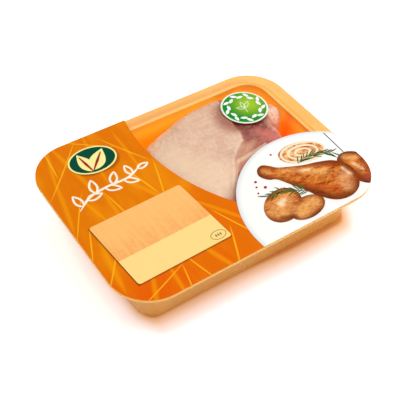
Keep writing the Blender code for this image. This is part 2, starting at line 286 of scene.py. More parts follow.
class FlatShapes:
    """Collects flat shapes of little thickness, each a closed slab, into one mesh."""

    def __init__(self):
        self.model = bmesh.new()

    def fill(self, outline, bottom, top):
        """A filled outline between two heights."""
        lower = [self.model.verts.new((x * MM, y * MM, bottom * MM)) for x, y in outline]
        upper = [self.model.verts.new((x * MM, y * MM, top * MM)) for x, y in outline]
        for i in range(len(outline)):
            j = (i + 1) % len(outline)
            self.model.faces.new((lower[i], lower[j], upper[j], upper[i]))
        self.model.faces.new(list(reversed(lower)))
        self.model.faces.new(upper)

    def ribbon(self, path, width, bottom, top, ends=0.25):
        """A stroke along a path; `ends` is the share of the width left at its two tips."""
        count = len(path)
        left, right = [], []
        for i, (x, y) in enumerate(path):
            ax, ay = path[max(i - 1, 0)]
            bx, by = path[min(i + 1, count - 1)]
            length = hypot(bx - ax, by - ay) or 1.0
            nx, ny = -(by - ay) / length, (bx - ax) / length
            t = i / (count - 1)
            half = width / 2 * (ends + (1 - ends) * min(1.0, 6 * t, 6 * (1 - t)))
            left.append((x + nx * half, y + ny * half))
            right.append((x - nx * half, y - ny * half))
        strips = []
        for side_a, side_b in zip(left, right):
            strips.append([
                self.model.verts.new((px * MM, py * MM, z * MM))
                for px, py, z in ((*side_b, bottom), (*side_a, bottom), (*side_a, top), (*side_b, top))
            ])
        for a, b in zip(strips, strips[1:]):
            for k in range(4):
                m = (k + 1) % 4
                self.model.faces.new((a[k], a[m], b[m], b[k]))
        self.model.faces.new(list(reversed(strips[0])))
        self.model.faces.new(strips[-1])

    def finish(self, name, material):
        """Turn the shapes into one object."""
        mesh = bpy.data.meshes.new(name)
        bmesh.ops.recalc_face_normals(self.model, faces=self.model.faces)
        bmesh.ops.triangulate(self.model, faces=[f for f in self.model.faces if len(f.verts) > 4])
        self.model.to_mesh(mesh)
        self.model.free()
        return link_mesh(name, mesh, material, smooth=False)


def slab(name, outline, bottom, top, material):
    """One filled outline as an object of its own."""
    shapes = FlatShapes()
    shapes.fill(outline, bottom, top)
    return shapes.finish(name, material)


# ---- Small helpers for materials -----------------------------------------------------------------
class Graph:
    """Places and links the nodes of one tree."""

    def __init__(self, tree):
        self.tree = tree

    def wire(self, item, inputs):
        """Link sockets to a node's inputs, or set plain values on them."""
        for key, value in inputs.items():
            if isinstance(value, bpy.types.NodeSocket):
                self.tree.links.new(value, item.inputs[key])
            else:
                item.inputs[key].default_value = value

    def node(self, kind, inputs=None, **settings):
        """Add a node; inputs are sockets to link or values to set."""
        item = self.tree.nodes.new(kind)
        for key, value in settings.items():
            setattr(item, key, value)
        self.wire(item, inputs or {})
        return item

    def math(self, operation, a, b=0.0, clamp=False):
        """One Math node."""
        return self.node("ShaderNodeMath", {0: a, 1: b}, operation=operation, use_clamp=clamp).outputs[0]

    def add(self, a, b, clamp=False):
        """Sum of two values."""
        return self.math("ADD", a, b, clamp)

    def sub(self, a, b, clamp=False):
        """Difference of two values."""
        return self.math("SUBTRACT", a, b, clamp)

    def mul(self, a, b, clamp=False):
        """Product of two values."""
        return self.math("MULTIPLY", a, b, clamp)

    def most(self, first, *others):
        """Largest of several values."""
        for other in others:
            first = self.math("MAXIMUM", first, other)
        return first

    def length(self, a, b):
        """Length of a flat vector."""
        return self.math("SQRT", self.add(self.mul(a, a), self.mul(b, b)))

    def step(self, value, low, high):
        """Rise smoothly from 0 at low to 1 at high."""
        return self.node(
            "ShaderNodeMapRange", {"Value": value, "From Min": low, "From Max": high},
            interpolation_type="SMOOTHSTEP",
        ).outputs["Result"]

    def between(self, share, low, high):
        """Turn a share from 0 to 1 into a value from low to high."""
        return self.node("ShaderNodeMapRange", {"Value": share, "To Min": low, "To Max": high}).outputs[0]

    def blend(self, share, a, b, strength=1.0, mode="MIX"):
        """Mix colour b over colour a by a share, which `strength` may weaken."""
        if strength != 1.0:
            share = self.mul(share, strength)
        a, b = (c if isinstance(c, bpy.types.NodeSocket) else (*c, 1.0) for c in (a, b))
        return self.node("ShaderNodeMix", {0: share, 6: a, 7: b}, data_type="RGBA", blend_type=mode).outputs[2]

    def noise(self, vector, scale, detail=3.0, roughness=0.5, distortion=0.0):
        """Noise between 0 and 1."""
        return self.node("ShaderNodeTexNoise", {
            "Vector": vector, "Scale": scale, "Detail": detail, "Roughness": roughness, "Distortion": distortion,
        }).outputs[0]

    def stretch(self, vector, scale, turn=0.0):
        """Coordinates turned about Z and scaled by axis."""
        return self.node(
            "ShaderNodeMapping", {"Vector": vector, "Rotation": (0.0, 0.0, turn), "Scale": scale}
        ).outputs[0]

    def axes(self, vector):
        """X, Y and Z of a vector."""
        return self.node("ShaderNodeSeparateXYZ", {0: vector}).outputs

    def vector(self, x=0.0, y=0.0, z=0.0):
        """A vector made of three values."""
        return self.node("ShaderNodeCombineXYZ", {0: x, 1: y, 2: z}).outputs[0]

    def attribute(self, name):
        """A mask that is stored on the mesh."""
        return self.node("ShaderNodeAttribute", attribute_name=name).outputs["Fac"]

    def bump(self, height, strength, distance):
        """Normal of a fine relief."""
        inputs = {"Height": height, "Strength": strength, "Distance": distance}
        return self.node("ShaderNodeBump", inputs).outputs[0]


def new_group(name, inputs, outputs):
    """A shader node group: its tree, its graph, the sockets of its inputs and its end node."""
    tree = bpy.data.node_groups.new(name, "ShaderNodeTree")
    for side, labels in (("INPUT", inputs), ("OUTPUT", outputs)):
        for label in labels:
            kind = "NodeSocketVector" if label in ("Vector", "Normal") else "NodeSocketFloat"
            tree.interface.new_socket(label, in_out=side, socket_type=kind)
    graph = Graph(tree)
    return tree, graph, graph.node("NodeGroupInput").outputs, graph.node("NodeGroupOutput")


def streak_group():
    """Mask of one slender, slightly bent streak on a flat print."""
    inputs = ("X", "Y", "Middle X", "Middle Y", "Turn", "Half Length", "Half Width", "Bend", "Core")
    tree, g, put, end = new_group("Straw Streak", inputs, ("Mask",))
    dx, dy = g.sub(put["X"], put["Middle X"]), g.sub(put["Y"], put["Middle Y"])
    cosine, sine = g.math("COSINE", put["Turn"]), g.math("SINE", put["Turn"])
    along = g.add(g.mul(dx, cosine), g.mul(dy, sine))
    across = g.sub(g.mul(dy, cosine), g.mul(dx, sine))
    bent = g.sub(across, g.mul(put["Bend"], g.mul(along, along)))
    reach = g.math("ABSOLUTE", g.math("DIVIDE", along, put["Half Length"]))
    taper = g.sub(1.0, g.mul(reach, reach), clamp=True)
    width = g.add(g.mul(put["Half Width"], taper), 0.00005)
    side = g.math("DIVIDE", g.math("ABSOLUTE", bent), width)
    body = g.sub(1.0, g.step(side, put["Core"], 1.1))
    fade = g.sub(1.0, g.step(reach, 0.55, 1.0))
    g.wire(end, {"Mask": g.mul(body, fade)})
    return tree


PRINT_RIPPLE = 0.03


def print_surface_group():
    """Roughness and normal that all prints under the film's gloss share."""
    tree, g, put, end = new_group("Print Surface", ("Vector", "Roughness"), ("Roughness", "Normal"))
    rough = g.sub(g.mul(g.noise(put["Vector"], 900.0, 2.0), 0.10), 0.05)
    relief = g.bump(g.noise(put["Vector"], 28.0, 2.0), PRINT_RIPPLE, 0.004)
    g.wire(end, {"Roughness": g.add(put["Roughness"], rough, clamp=True), "Normal": relief})
    return tree


def mottle_group():
    """Soft blotches with a few finer specks inside, used by prints and by flesh."""
    inputs = ("Vector", "Scale", "Fine Scale", "Fine Share", "Low", "High")
    tree, g, put, end = new_group("Mottle", inputs, ("Mask",))
    broad = g.noise(put["Vector"], put["Scale"], 3.0, 0.55, 0.4)
    fine = g.noise(put["Vector"], put["Fine Scale"], 2.0, 0.6)
    value = g.add(g.mul(broad, g.sub(1.0, put["Fine Share"])), g.mul(fine, put["Fine Share"]))
    g.wire(end, {"Mask": g.step(value, put["Low"], put["High"])})
    return tree


def bar_group():
    """Soft mask of a tapered rounded bar between two points of a flat print."""
    inputs = ("X", "Y", "X0", "Y0", "X1", "Y1", "Radius0", "Radius1", "Softness")
    tree, g, put, end = new_group("Soft Bar", inputs, ("Mask",))
    ax, ay = g.sub(put["X1"], put["X0"]), g.sub(put["Y1"], put["Y0"])
    px, py = g.sub(put["X"], put["X0"]), g.sub(put["Y"], put["Y0"])
    dot = g.add(g.mul(px, ax), g.mul(py, ay))
    square = g.add(g.mul(ax, ax), g.mul(ay, ay))
    t = g.math("DIVIDE", dot, g.add(square, 1e-9), clamp=True)
    distance = g.length(g.sub(px, g.mul(ax, t)), g.sub(py, g.mul(ay, t)))
    radius = g.add(put["Radius0"], g.mul(t, g.sub(put["Radius1"], put["Radius0"])))
    outside = g.math("DIVIDE", g.sub(distance, radius), put["Softness"])
    g.wire(end, {"Mask": g.sub(1.0, g.step(outside, -1.0, 1.0))})
    return tree


SHARED_GROUPS = {"streak": streak_group, "print": print_surface_group, "mottle": mottle_group, "bar": bar_group}


def shared(graph, key, inputs):
    """Place one of the shared groups, which is built the first time that it is asked for."""
    store = shared.__dict__.setdefault("trees", {})
    if key not in store:
        store[key] = SHARED_GROUPS[key]()
    return graph.node("ShaderNodeGroup", inputs, node_tree=store[key]).outputs


def mottle(g, vector, scale, fine_scale, low, high, fine_share=0.3):
    """Mask of soft blotches with finer specks, rising between low and high."""
    return shared(g, "mottle", {
        "Vector": vector, "Scale": scale, "Fine Scale": fine_scale, "Fine Share": fine_share,
        "Low": low, "High": high,
    })["Mask"]


def soft_bar(g, axes, start, finish, radii, softness):
    """Mask of a soft bar; all sizes in millimetres."""
    keys = ("X0", "Y0", "X1", "Y1", "Radius0", "Radius1", "Softness")
    sizes = {key: value * MM for key, value in zip(keys, (*start, *finish, *radii, softness))}
    return shared(g, "bar", {"X": axes["X"], "Y": axes["Y"], **sizes})["Mask"]


def offset_from(g, axes, x, y):
    """Distances in X and in Y from a place given in millimetres."""
    return g.sub(axes["X"], x * MM), g.sub(axes["Y"], y * MM)


def tinted(colour, *factors):
    """A colour with each of its channels scaled."""
    return tuple(value * factor for value, factor in zip(colour, factors))


def new_material(name):
    """A material with its graph, its Principled shader and its object position."""
    material = bpy.data.materials.new(name)
    material.use_nodes = True
    graph = Graph(material.node_tree)
    position = graph.node("ShaderNodeTexCoord").outputs["Object"]
    return material, graph, material.node_tree.nodes["Principled BSDF"], position


def print_finish(g, shader, position, colour, roughness=0.36):
    """Give a print its colour and the gloss that all prints share."""
    surface = shared(g, "print", {"Vector": position, "Roughness": roughness})
    g.wire(shader, {"Base Color": colour, "Roughness": surface["Roughness"], "Normal": surface["Normal"],
                    "Specular IOR Level": 0.03})


def mottled_print(name, dark, light, scale, fine_scale):
    """A print whose two tones run softly into each other."""
    material, g, shader, position = new_material(name)
    print_finish(g, shader, position, g.blend(mottle(g, position, scale, fine_scale, 0.35, 0.65), dark, light))
    return material


def plain_print(name, colour, dark=0.94):
    """One-colour print with the faint unevenness of ink."""
    return mottled_print(name, tinted(colour, dark, dark, dark), colour, 90.0, 700.0)


# ---- Tray ----------------------------------------------------------------------------------------
WALL = 0.9
FLOOR_THICKNESS = 1.0
FLANGE_THICKNESS, FLANGE_LIP, LIP_WALL = 1.0, 2.4, 0.8
FLANGE_END, FLANGE_SIDE = 13.2, 10.4
EDGE_ROUND, STEP_RUN, STEP_ROUND = 0.6, 1.5, 0.35
LEDGE_DROP, LEDGE_END, LEDGE_SIDE, LEDGE_CORNER = 1.5, 15.4, 12.0, 22.0
LEDGE_FOLD, FOLD_ROUND = 1.2, 0.4
BASE_END, BASE_SIDE, BASE_CORNER, BASE_BOW, BASE_FILLET = 24.0, 19.6, 15.0, 5.0, 3.2
TRAY_CORNER_STEPS = 14
TRAY_SIDE_STEPS = 14
FILLET_STEPS = 4


def tray_outline(level):
    """One level of the tray: a round-cornered rectangle whose short sides bow out."""
    end_inset, side_inset, radius, bow, height = level
    half_x, half_y = HALF_LENGTH - end_inset, HALF_WIDTH - side_inset
    corners = rounded_box(-half_x, half_x, -half_y, half_y, radius, TRAY_CORNER_STEPS)
    outline = []
    for i, (x, y) in enumerate(corners):
        outline.append((x, y))
        if i % (TRAY_CORNER_STEPS + 1) == TRAY_CORNER_STEPS:
            next_x, next_y = corners[(i + 1) % len(corners)]
            for k in range(1, TRAY_SIDE_STEPS):
                t = k / TRAY_SIDE_STEPS
                outline.append((x + (next_x - x) * t, y + (next_y - y) * t))
    points = np.array(outline)
    reach = (np.abs(points[:, 0]) / half_x) ** 4 * (1 - (points[:, 1] / half_y) ** 2)
    points[:, 0] += np.sign(points[:, 0]) * bow * reach
    return np.column_stack([points, np.full(len(points), height)])


def tray_level(share, offset, height):
    """A level of the tapered wall; share runs from 0 at the ledge to 1 at the base."""
    return (
        LEDGE_END + (BASE_END - LEDGE_END) * share + offset,
        LEDGE_SIDE + (BASE_SIDE - LEDGE_SIDE) * share + offset,
        LEDGE_CORNER + (BASE_CORNER - LEDGE_CORNER) * share - offset,
        BASE_BOW * share,
        height,
    )


def step_level(run, height):
    """A level of the step from the flange down to the ledge, `run` inside the flange's inner edge."""
    return (FLANGE_END + run, FLANGE_SIDE + run, LID_CORNER - FLANGE_SIDE - run, 0.0, height)


def edge_level(inset, height):
    """A level near the flange's outer edge."""
    return (inset, inset, LID_CORNER - inset, 0.0, height)


def tray_levels():
    """The tray's profile from the base, up the outside, over the flange and down to the floor."""
    top, fillet = TRAY_TOP, BASE_FILLET
    under, lip, ledge = top - FLANGE_THICKNESS, top - FLANGE_LIP, top - LEDGE_DROP
    middle = (ledge + fillet) / 2
    return [
        tray_level(1.0, fillet, 0.0),
        tray_level(1.0, fillet * 0.45, fillet * 0.12),
        tray_level(1.0, fillet * 0.12, fillet * 0.45),
        tray_level(0.95, 0.0, fillet),
        tray_level(0.5, 0.0, middle),
        tray_level(0.0, 0.0, ledge - WALL - 3 * FOLD_ROUND),
        tray_level(0.0, -FOLD_ROUND, ledge - WALL - FOLD_ROUND),
        step_level(STEP_RUN / 2, ledge - WALL),
        step_level(-EDGE_ROUND / 2, under),
        edge_level(LIP_WALL + FOLD_ROUND, under),
        edge_level(LIP_WALL, lip),
        edge_level(0.0, lip),
        edge_level(0.0, top - EDGE_ROUND),
        edge_level(EDGE_ROUND, top),
        step_level(-EDGE_ROUND, top),
        step_level(0.0, top - STEP_ROUND),
        step_level(STEP_RUN / 2, ledge + STEP_ROUND),
        step_level(STEP_RUN, ledge),
        tray_level(0.0, LEDGE_FOLD - FOLD_ROUND, ledge),
        tray_level(0.0, LEDGE_FOLD, ledge - FOLD_ROUND),
        tray_level(0.5, WALL, middle),
        tray_level(0.95, WALL, fillet + WALL),
        tray_level(1.0, WALL + fillet * 0.15, fillet * 0.4 + WALL),
        tray_level(1.0, WALL + fillet * 0.9, FLOOR_THICKNESS),
    ]


def rounded_levels(levels, cut=0.5):
    """Round the profile's corners, no further than `cut` mm or 40% of a run from each."""
    levels = [np.array(level) for level in levels]
    out = [levels[0]]
    for before, here, after in zip(levels, levels[1:], levels[2:]):
        ends = []
        for other in (before, after):
            run = np.linalg.norm((other - here)[[1, 4]])
            ends.append(here + (other - here) * min(0.4, cut / max(run, 1e-6)))
        for k in range(FILLET_STEPS + 1):
            t = k / FILLET_STEPS
            out.append(ends[0] * (1 - t) ** 2 + here * 2 * t * (1 - t) + ends[1] * t ** 2)
    out.append(levels[-1])
    return out


# Painted light on the tray: shade on the flange's inner half (the brim) and a highlight along the ledge; a glow
# in the hollow's upper part and redder shade in its part beside the thick end.
BRIM_SHADE_TONE, LEDGE_HIGHLIGHT_TONE = (0.70, 0.31, 0.12), (0.98, 0.56, 0.19)
HOLLOW_GLOW_TONE, RED_SHADE_TONE = (0.98, 0.43, 0.02), (0.88, 0.05, 0.0)
RED_SHADE_BAR = ((101, 0), (109, 24), (6, 5), 6.5)
TRAY_GLOW = 0.40


def tray_material(colours):
    """Light orange plastic, with painted light: shade on the outer wall and the flange's inner half, a highlight
    on the ledge, and a deep orange glow in the hollow, in its colour and its emission, for light that comes
    through the walls.
    """
    material, g, shader, position = new_material("orange tray plastic")
    axes = g.axes(position)
    inside, wall, ledge, brim = (g.attribute(name) for name in ("inside", "wall", "ledge", "brim"))
    mask = mottle(g, position, 18.0, 260.0, 0.3, 0.7, 0.15)
    outer = g.blend(mask, colours.tray, tinted(colours.tray, 0.97, 0.92, 0.80))
    # Painted shade: the outer wall, below the flange's top, takes the darker tan.
    outer = g.blend(wall, outer, colours.tray_wall_shade)
    # Painted shade on the flange's inner half, fading out at the right end, then a painted highlight on the
    # ledge.
    brim_shade_share = g.mul(g.step(axes["X"], 0.116, 0.088), 0.48)
    outer = g.blend(g.mul(g.step(brim, 0.25, 0.95), brim_shade_share), outer, BRIM_SHADE_TONE)
    outer = g.blend(ledge, outer, LEDGE_HIGHLIGHT_TONE, 0.9)
    # Painted glow of the hollow, with painted redder shade beside the drumstick's thick end; the same colour is
    # also given off as emission.
    deep = g.blend(g.step(inside, 0.15, 0.9), HOLLOW_GLOW_TONE, colours.tray_inside_glow)
    deep = g.blend(soft_bar(g, axes, *RED_SHADE_BAR), deep, RED_SHADE_TONE, 0.9)
    draw = g.noise(g.stretch(position, (1.0, 1.0, 0.15)), 700.0, 2.0)
    g.wire(shader, {
        "Base Color": g.blend(g.step(inside, 0.0, 0.08), outer, deep),
        "Emission Color": g.blend(g.step(inside, 0.0, 0.45), (0.0, 0.0, 0.0), deep),
        "Emission Strength": TRAY_GLOW,
        "Normal": g.bump(draw, 0.06, 0.0004),
        "Roughness": g.between(mask, 0.26, 0.36),
        "Subsurface Weight": 0.75,
        "Subsurface Radius": (1.0, 0.45, 0.12),
        "Subsurface Scale": 0.006,
        "Specular IOR Level": 0.2,
    })
    return material


class PACK_OT_tray(bpy.types.Operator):
    """Build the thermoformed tray"""

    bl_idname = "pack.tray"
    bl_label = "Tray"

    def execute(self, context):
        rings = [tray_outline(level) for level in rounded_levels(tray_levels())]
        mesh = loft_mesh("meat_tray", rings)
        depth = np.array([ring[0, 2] for ring in rings])
        inner = np.arange(len(rings)) > np.argmax(depth)
        masks = {
            "inside": inner * smooth_step(-0.6, 9.0, TRAY_TOP - LEDGE_DROP - depth),
            "wall": ~inner * smooth_step(0.1, 2.4, TRAY_TOP - depth),
            "ledge": inner * smooth_step(0.2, 1.2, TRAY_TOP - depth),
            "brim": inner,
        }
        add_masks(mesh, {name: np.repeat(mask, len(rings[0])) for name, mask in masks.items()})
        tray = link_mesh("meat_tray", mesh, tray_material(context.scene.pack_colours))
        settle(tray, "tray_plastic", "tray")
        return {"FINISHED"}


# ---- Drumstick -----------------------------------------------------------------------------------
# Stations from the cut hock at the left to the thick end at the right: x, front y, back y, lowest z,
# highest z, squareness of the back half, squareness of the front half, and how far the top leans back.
STATIONS = np.array((
    (-108.0, -13.0, -7.0, 14.0, 20.0, 2.2, 2.2, 0.0),
    (-105.0, -22.0, 3.0, 7.0, 28.0, 2.2, 2.2, 0.0),
    (-98.0, -25.0, 9.0, 1.4, 34.0, 2.3, 2.3, 0.0),
    (-87.0, -23.0, 10.0, 1.8, 34.0, 2.2, 2.2, 0.0),
    (-74.0, -24.0, 20.0, 1.4, 37.0, 2.2, 2.2, 1.0),
    (-52.0, -34.0, 44.0, 1.4, 43.0, 2.3, 2.3, 3.5),
    (-28.0, -43.0, 61.4, 1.4, 48.0, 3.1, 2.5, 5.0),
    (0.0, -48.0, 70.8, 1.4, 50.8, 3.7, 2.6, 6.0),
    (30.0, -49.0, 75.2, 1.4, 51.3, 5.2, 2.8, 7.4),
    (55.0, -46.0, 76.9, 1.4, 51.3, 5.8, 2.8, 8.0),
    (75.0, -29.0, 76.0, 1.4, 51.3, 5.4, 2.8, 7.2),
    (91.5, -8.0, 71.0, 1.6, 50.5, 4.6, 2.8, 5.5),
    (94.5, 6.0, 68.0, 2.4, 50.3, 4.0, 2.6, 5.0),
    (97.5, 18.5, 64.5, 5.0, 50.0, 3.4, 2.6, 4.0),
    (103.0, 24.5, 58.5, 12.0, 49.4, 2.8, 2.6, 3.0),
    (109.2, 29.5, 51.0, 28.0, 48.4, 2.4, 2.4, 1.0),
    (112.4, 35.0, 45.0, 39.0, 47.0, 2.2, 2.2, 0.0),
))
END_CROWDING = 0.55
SKIN_EDGE = np.array((
    (68.0, 82.0), (60.5, 50.0), (57.5, 36.0), (57.0, 26.0), (53.0, 17.0), (47.0, 12.5), (41.0, 9.0), (33.5, 2.0),
    (28.0, -6.5), (21.0, -17.0), (10.0, -32.0), (0.0, -56.0),
))
SKIN_STEP = 0.9
SKIN_ROLL = 0.6
MEMBRANE_FRONT, MEMBRANE_REACH = 14.0, 13.0
MEMBRANE_RIDGES = ((2.6, 0.45), (6.4, 0.35))
FAT_LINE = (
    (68.7, 1.9), (55.3, -0.5), (43.0, -2.0), (36.0, -2.6), (31.0, -4.5), (26.0, -10.5), (20.5, -19.0),
    (14.0, -29.0),
)
FAT_LINE_HEIGHT, FAT_LINE_WIDTH = 0.6, 2.0
CUFF_X, CUFF_HEIGHT = -93.0, 1.2
NOTCH_Y, NOTCH_DEPTH = 21.5, 4.0
FILM_CLEARANCE = 0.35
# Relief of the bare meat, of the skin and of its grains, and how far the grains draw the back's outline in.
LUMP_HEIGHT, STRAND_HEIGHT = 1.5, 0.34
DENT_DEPTH, PUCKER_DEPTH, WRINKLE_DEPTH = 0.9, 0.09, 0.12
GRAIN_HEIGHT, GRAIN_NOTCH = 0.22, 1.1
# Noise over the flesh: its stretch by axis, the size of one lump, its seed and its octaves.
FLESH_NOISE = {
    "edge": ((1.0, 1.0, 0.2), 5.0, 7, 2),
    "front": ((1.0, 1.0, 1.0), 6.0, 3, 2),
    "ridge": ((1.0, 1.0, 1.0), 11.0, 4, 2),
    "thread": ((1.0, 1.0, 1.0), 7.0, 9, 2),
    "lump": ((0.8, 1.0, 0.6), 6.5, 5, 2),
    "strand": ((0.5, 1.0, 1.0), 2.6, 11, 3),
    "dent": ((1.0, 1.0, 1.0), 34.0, 1, 3),
    "pucker": ((1.0, 0.45, 1.0), 6.0, 2, 3),
    "wrinkle": ((0.18, 1.0, 0.5), 3.6, 8, 3),
    "grain": ((1.0, 1.0, 0.7), 3.4, 6, 2),
}
WRINKLE_SLANT = (0.57, 0.82)
SECTION_STEPS = 960


def station_values(x):
    """Section values at each x, on smooth curves through the stations without overshoot."""
    knots = STATIONS[:, 0]
    steps = np.diff(STATIONS[:, 1:], axis=0) / np.diff(knots)[:, None]
    before, after = steps[:-1], steps[1:]
    same = before * after > 0
    middle = np.where(same, 2 * before * after / np.where(same, before + after, 1.0), 0.0)
    slopes = np.vstack([steps[:1], middle, steps[-1:]])
    i = np.clip(np.searchsorted(knots, x, side="left") - 1, 0, len(knots) - 2)
    span = (knots[i + 1] - knots[i])[:, None]
    t = ((x - knots[i]) / span[:, 0])[:, None]
    low, high = STATIONS[i, 1:], STATIONS[i + 1, 1:]
    return ((2 * t ** 3 - 3 * t ** 2 + 1) * low + (t ** 3 - 2 * t ** 2 + t) * span * slopes[i]
            + (3 * t ** 2 - 2 * t ** 3) * high + (t ** 3 - t ** 2) * span * slopes[i + 1])


def even_section(values, count):
    """Points (y, z) at even steps round one section, from its back and over its top."""
    front, back, bottom, top, square_back, square_front, lean = values
    a = np.linspace(0, 2 * pi, SECTION_STEPS + 1)
    square = np.where(np.cos(a) > 0, square_back, square_front)
    across = np.sign(np.cos(a)) * np.abs(np.cos(a)) ** (2 / square)
    up = np.sign(np.sin(a)) * np.abs(np.sin(a)) ** (2 / square)
    y = (front + back) / 2 + (back - front) / 2 * across + lean * up
    z = (bottom + top) / 2 + (top - bottom) / 2 * up
    length = np.concatenate([[0.0], np.cumsum(np.hypot(np.diff(y), np.diff(z)))])
    target = length[-1] * np.arange(count) / count
    return np.interp(target, length, y), np.interp(target, length, z)


def line_distance(x, y, path):
    """Distance from points to a polyline."""
    best = np.full(np.shape(x), 1e9)
    for (x0, y0), (x1, y1) in zip(path, path[1:]):
        dx, dy = x1 - x0, y1 - y0
        t = np.clip(((x - x0) * dx + (y - y0) * dy) / (dx * dx + dy * dy), 0, 1)
        best = np.minimum(best, np.hypot(x - x0 - dx * t, y - y0 - dy * t))
    return best


def past_skin_edge(x, y):
    """Signed distance beyond the skin's edge: negative on the skin."""
    ys, xs = SKIN_EDGE[::-1, 1], SKIN_EDGE[::-1, 0]
    return np.sign(x - np.interp(y, ys, xs)) * line_distance(x, y, SKIN_EDGE)


def bump_at(value, middle, half_width):
    """A smooth bump of height 1."""
    return np.exp(-((value - middle) / half_width) ** 2)


def noise_field(points, stretch, size, seed, octaves):
    """Signed noise at each point, in millimetres."""
    offset = Vector((seed * 13.7, seed * 5.1, seed * 9.3))
    return np.array([
        noise.fractal(Vector(point) / size + offset, 0.9, 2.1, octaves, noise_basis="PERLIN_ORIGINAL")
        for point in points * stretch
    ])


def drumstick_rings(rings, count):
    """Smooth sections of the drumstick, and each point's height on its section, from -1 to 1."""
    even = np.arange(rings) / (rings - 1)
    crowded = 0.5 - 0.5 * np.cos(pi * even)
    first, last = STATIONS[0, 0], STATIONS[-1, 0]
    xs = first + (last - first) * (even + (crowded - even) * END_CROWDING)
    values = station_values(xs)
    points = np.array([
        np.column_stack([np.full(count, x), *even_section(section, count)]) for x, section in zip(xs, values)
    ])
    middle, half = (values[:, 2:3] + values[:, 3:4]) / 2, (values[:, 3:4] - values[:, 2:3]) / 2
    return points, (points[..., 2] - middle) / half


def drumstick_surface(rings, count):
    """Points of the drumstick, ring by ring, and the masks that its material uses."""
    points, rise = drumstick_rings(rings, count)
    flat, rise = points.reshape(-1, 3), rise.reshape(-1)
    x, y, z = flat.T
    c, s = WRINKLE_SLANT
    slanted = np.column_stack([c * x + s * y, -s * x + c * y, z])
    field = {
        name: noise_field(slanted if name == "wrinkle" else flat, *values)
        for name, values in FLESH_NOISE.items()
    }
    beyond = past_skin_edge(x, y) + 0.7 * field["edge"]
    on_top = smooth_step(0.1, 0.7, rise)
    bare = smooth_step(-0.3, 2.4, beyond)
    membrane = 1 - smooth_step(MEMBRANE_FRONT - 5, MEMBRANE_FRONT + 3, y + 2 * field["front"])
    lift = -SKIN_STEP * smooth_step(0.0, 5.0, beyond)
    lift += SKIN_ROLL * bump_at(beyond, -1.8, 1.6) * (1 - bare)
    for place, height in MEMBRANE_RIDGES:
        lift += height * membrane * bump_at(beyond + 0.8 * field["ridge"], place, 0.9)
    thread = line_distance(x, y, FAT_LINE) + 0.5 * field["thread"]
    thread = 1 - smooth_step(FAT_LINE_WIDTH * 0.4, FAT_LINE_WIDTH * 1.4, thread)
    lift += FAT_LINE_HEIGHT * thread * bare
    fibres = LUMP_HEIGHT * np.minimum(field["lump"], 0.2) + STRAND_HEIGHT * field["strand"]
    lift += bare * (1 - 0.6 * membrane) * fibres
    lower = smooth_step(0.0, 40.0, -y - 0.4 * x + 12)
    creases = DENT_DEPTH * np.minimum(field["dent"], 0.0) - PUCKER_DEPTH * np.abs(field["pucker"])
    lift += (1 - bare) * (creases - WRINKLE_DEPTH * lower * np.abs(field["wrinkle"]))
    back = smooth_step(0.50, 0.92, (y - np.mean(points[..., 1], axis=1).repeat(count)) / 46.0)
    grain = smooth_step(0.05, 0.4, -field["grain"]) - 0.5 * smooth_step(0.0, 0.4, field["grain"])
    lift += GRAIN_HEIGHT * back * (1 - bare) * grain
    drawn_in = smooth_step(0.0, 0.4, field["grain"]) * smooth_step(-0.2, 0.5, rise)
    drawn_in = drawn_in * smooth_step(0.0, 20.0, y - 20)
    cuff = CUFF_HEIGHT * smooth_step(CUFF_X - 2, CUFF_X, x) * (1 - smooth_step(CUFF_X, CUFF_X + 9, x))
    lift = (lift + cuff * np.clip(rise, 0, 1)) * on_top
    flat[:, 2] = np.minimum(z + lift, FILM_BOX[0][2] - FILM_CLEARANCE)
    flat[:, 1] = y - GRAIN_NOTCH * drawn_in
    notch = bump_at(y, NOTCH_Y, 4.0) * smooth_step(86.0, 97.0, x) * smooth_step(-0.9, -0.3, rise)
    flat[:, 0] = x - NOTCH_DEPTH * notch
    veil = membrane * (1 - smooth_step(MEMBRANE_REACH - 4, MEMBRANE_REACH + 3, beyond))
    return points, {"bare": bare * on_top, "veil": veil * bare, "thread": thread * bare * on_top, "back": back}


# Soft bars on the flesh: start, finish, radii and softness.
CREAM_BAR = ((-22, 50), (6, -20), (17, 18), 15.0)
PINKER_BAR = ((80, 13), (83, 2), (5, 8), 5.0)
LOBE_BARS = (((103, 32), (106, 50), (7, 9), 4.0), ((93, 8), (91, 25), (3, 4), 4.0))
SALMON_BAR = ((38, -8.5), (24, -21), (3.2, 3.0), 2.4)
SHADE_BAR = ((70.0, 46.0), (70.1, 46.0), (24.0, 24.0), 7.5)
# Painted orange glow from the tray on the skin, salmon meat, and the sticker's painted shadow on the flesh.
TRAY_GLOW_SKIN_TONE, SALMON_TONE, SHADE_TONE = (0.96, 0.60, 0.30), (0.64, 0.15, 0.085), (0.56, 0.33, 0.27)


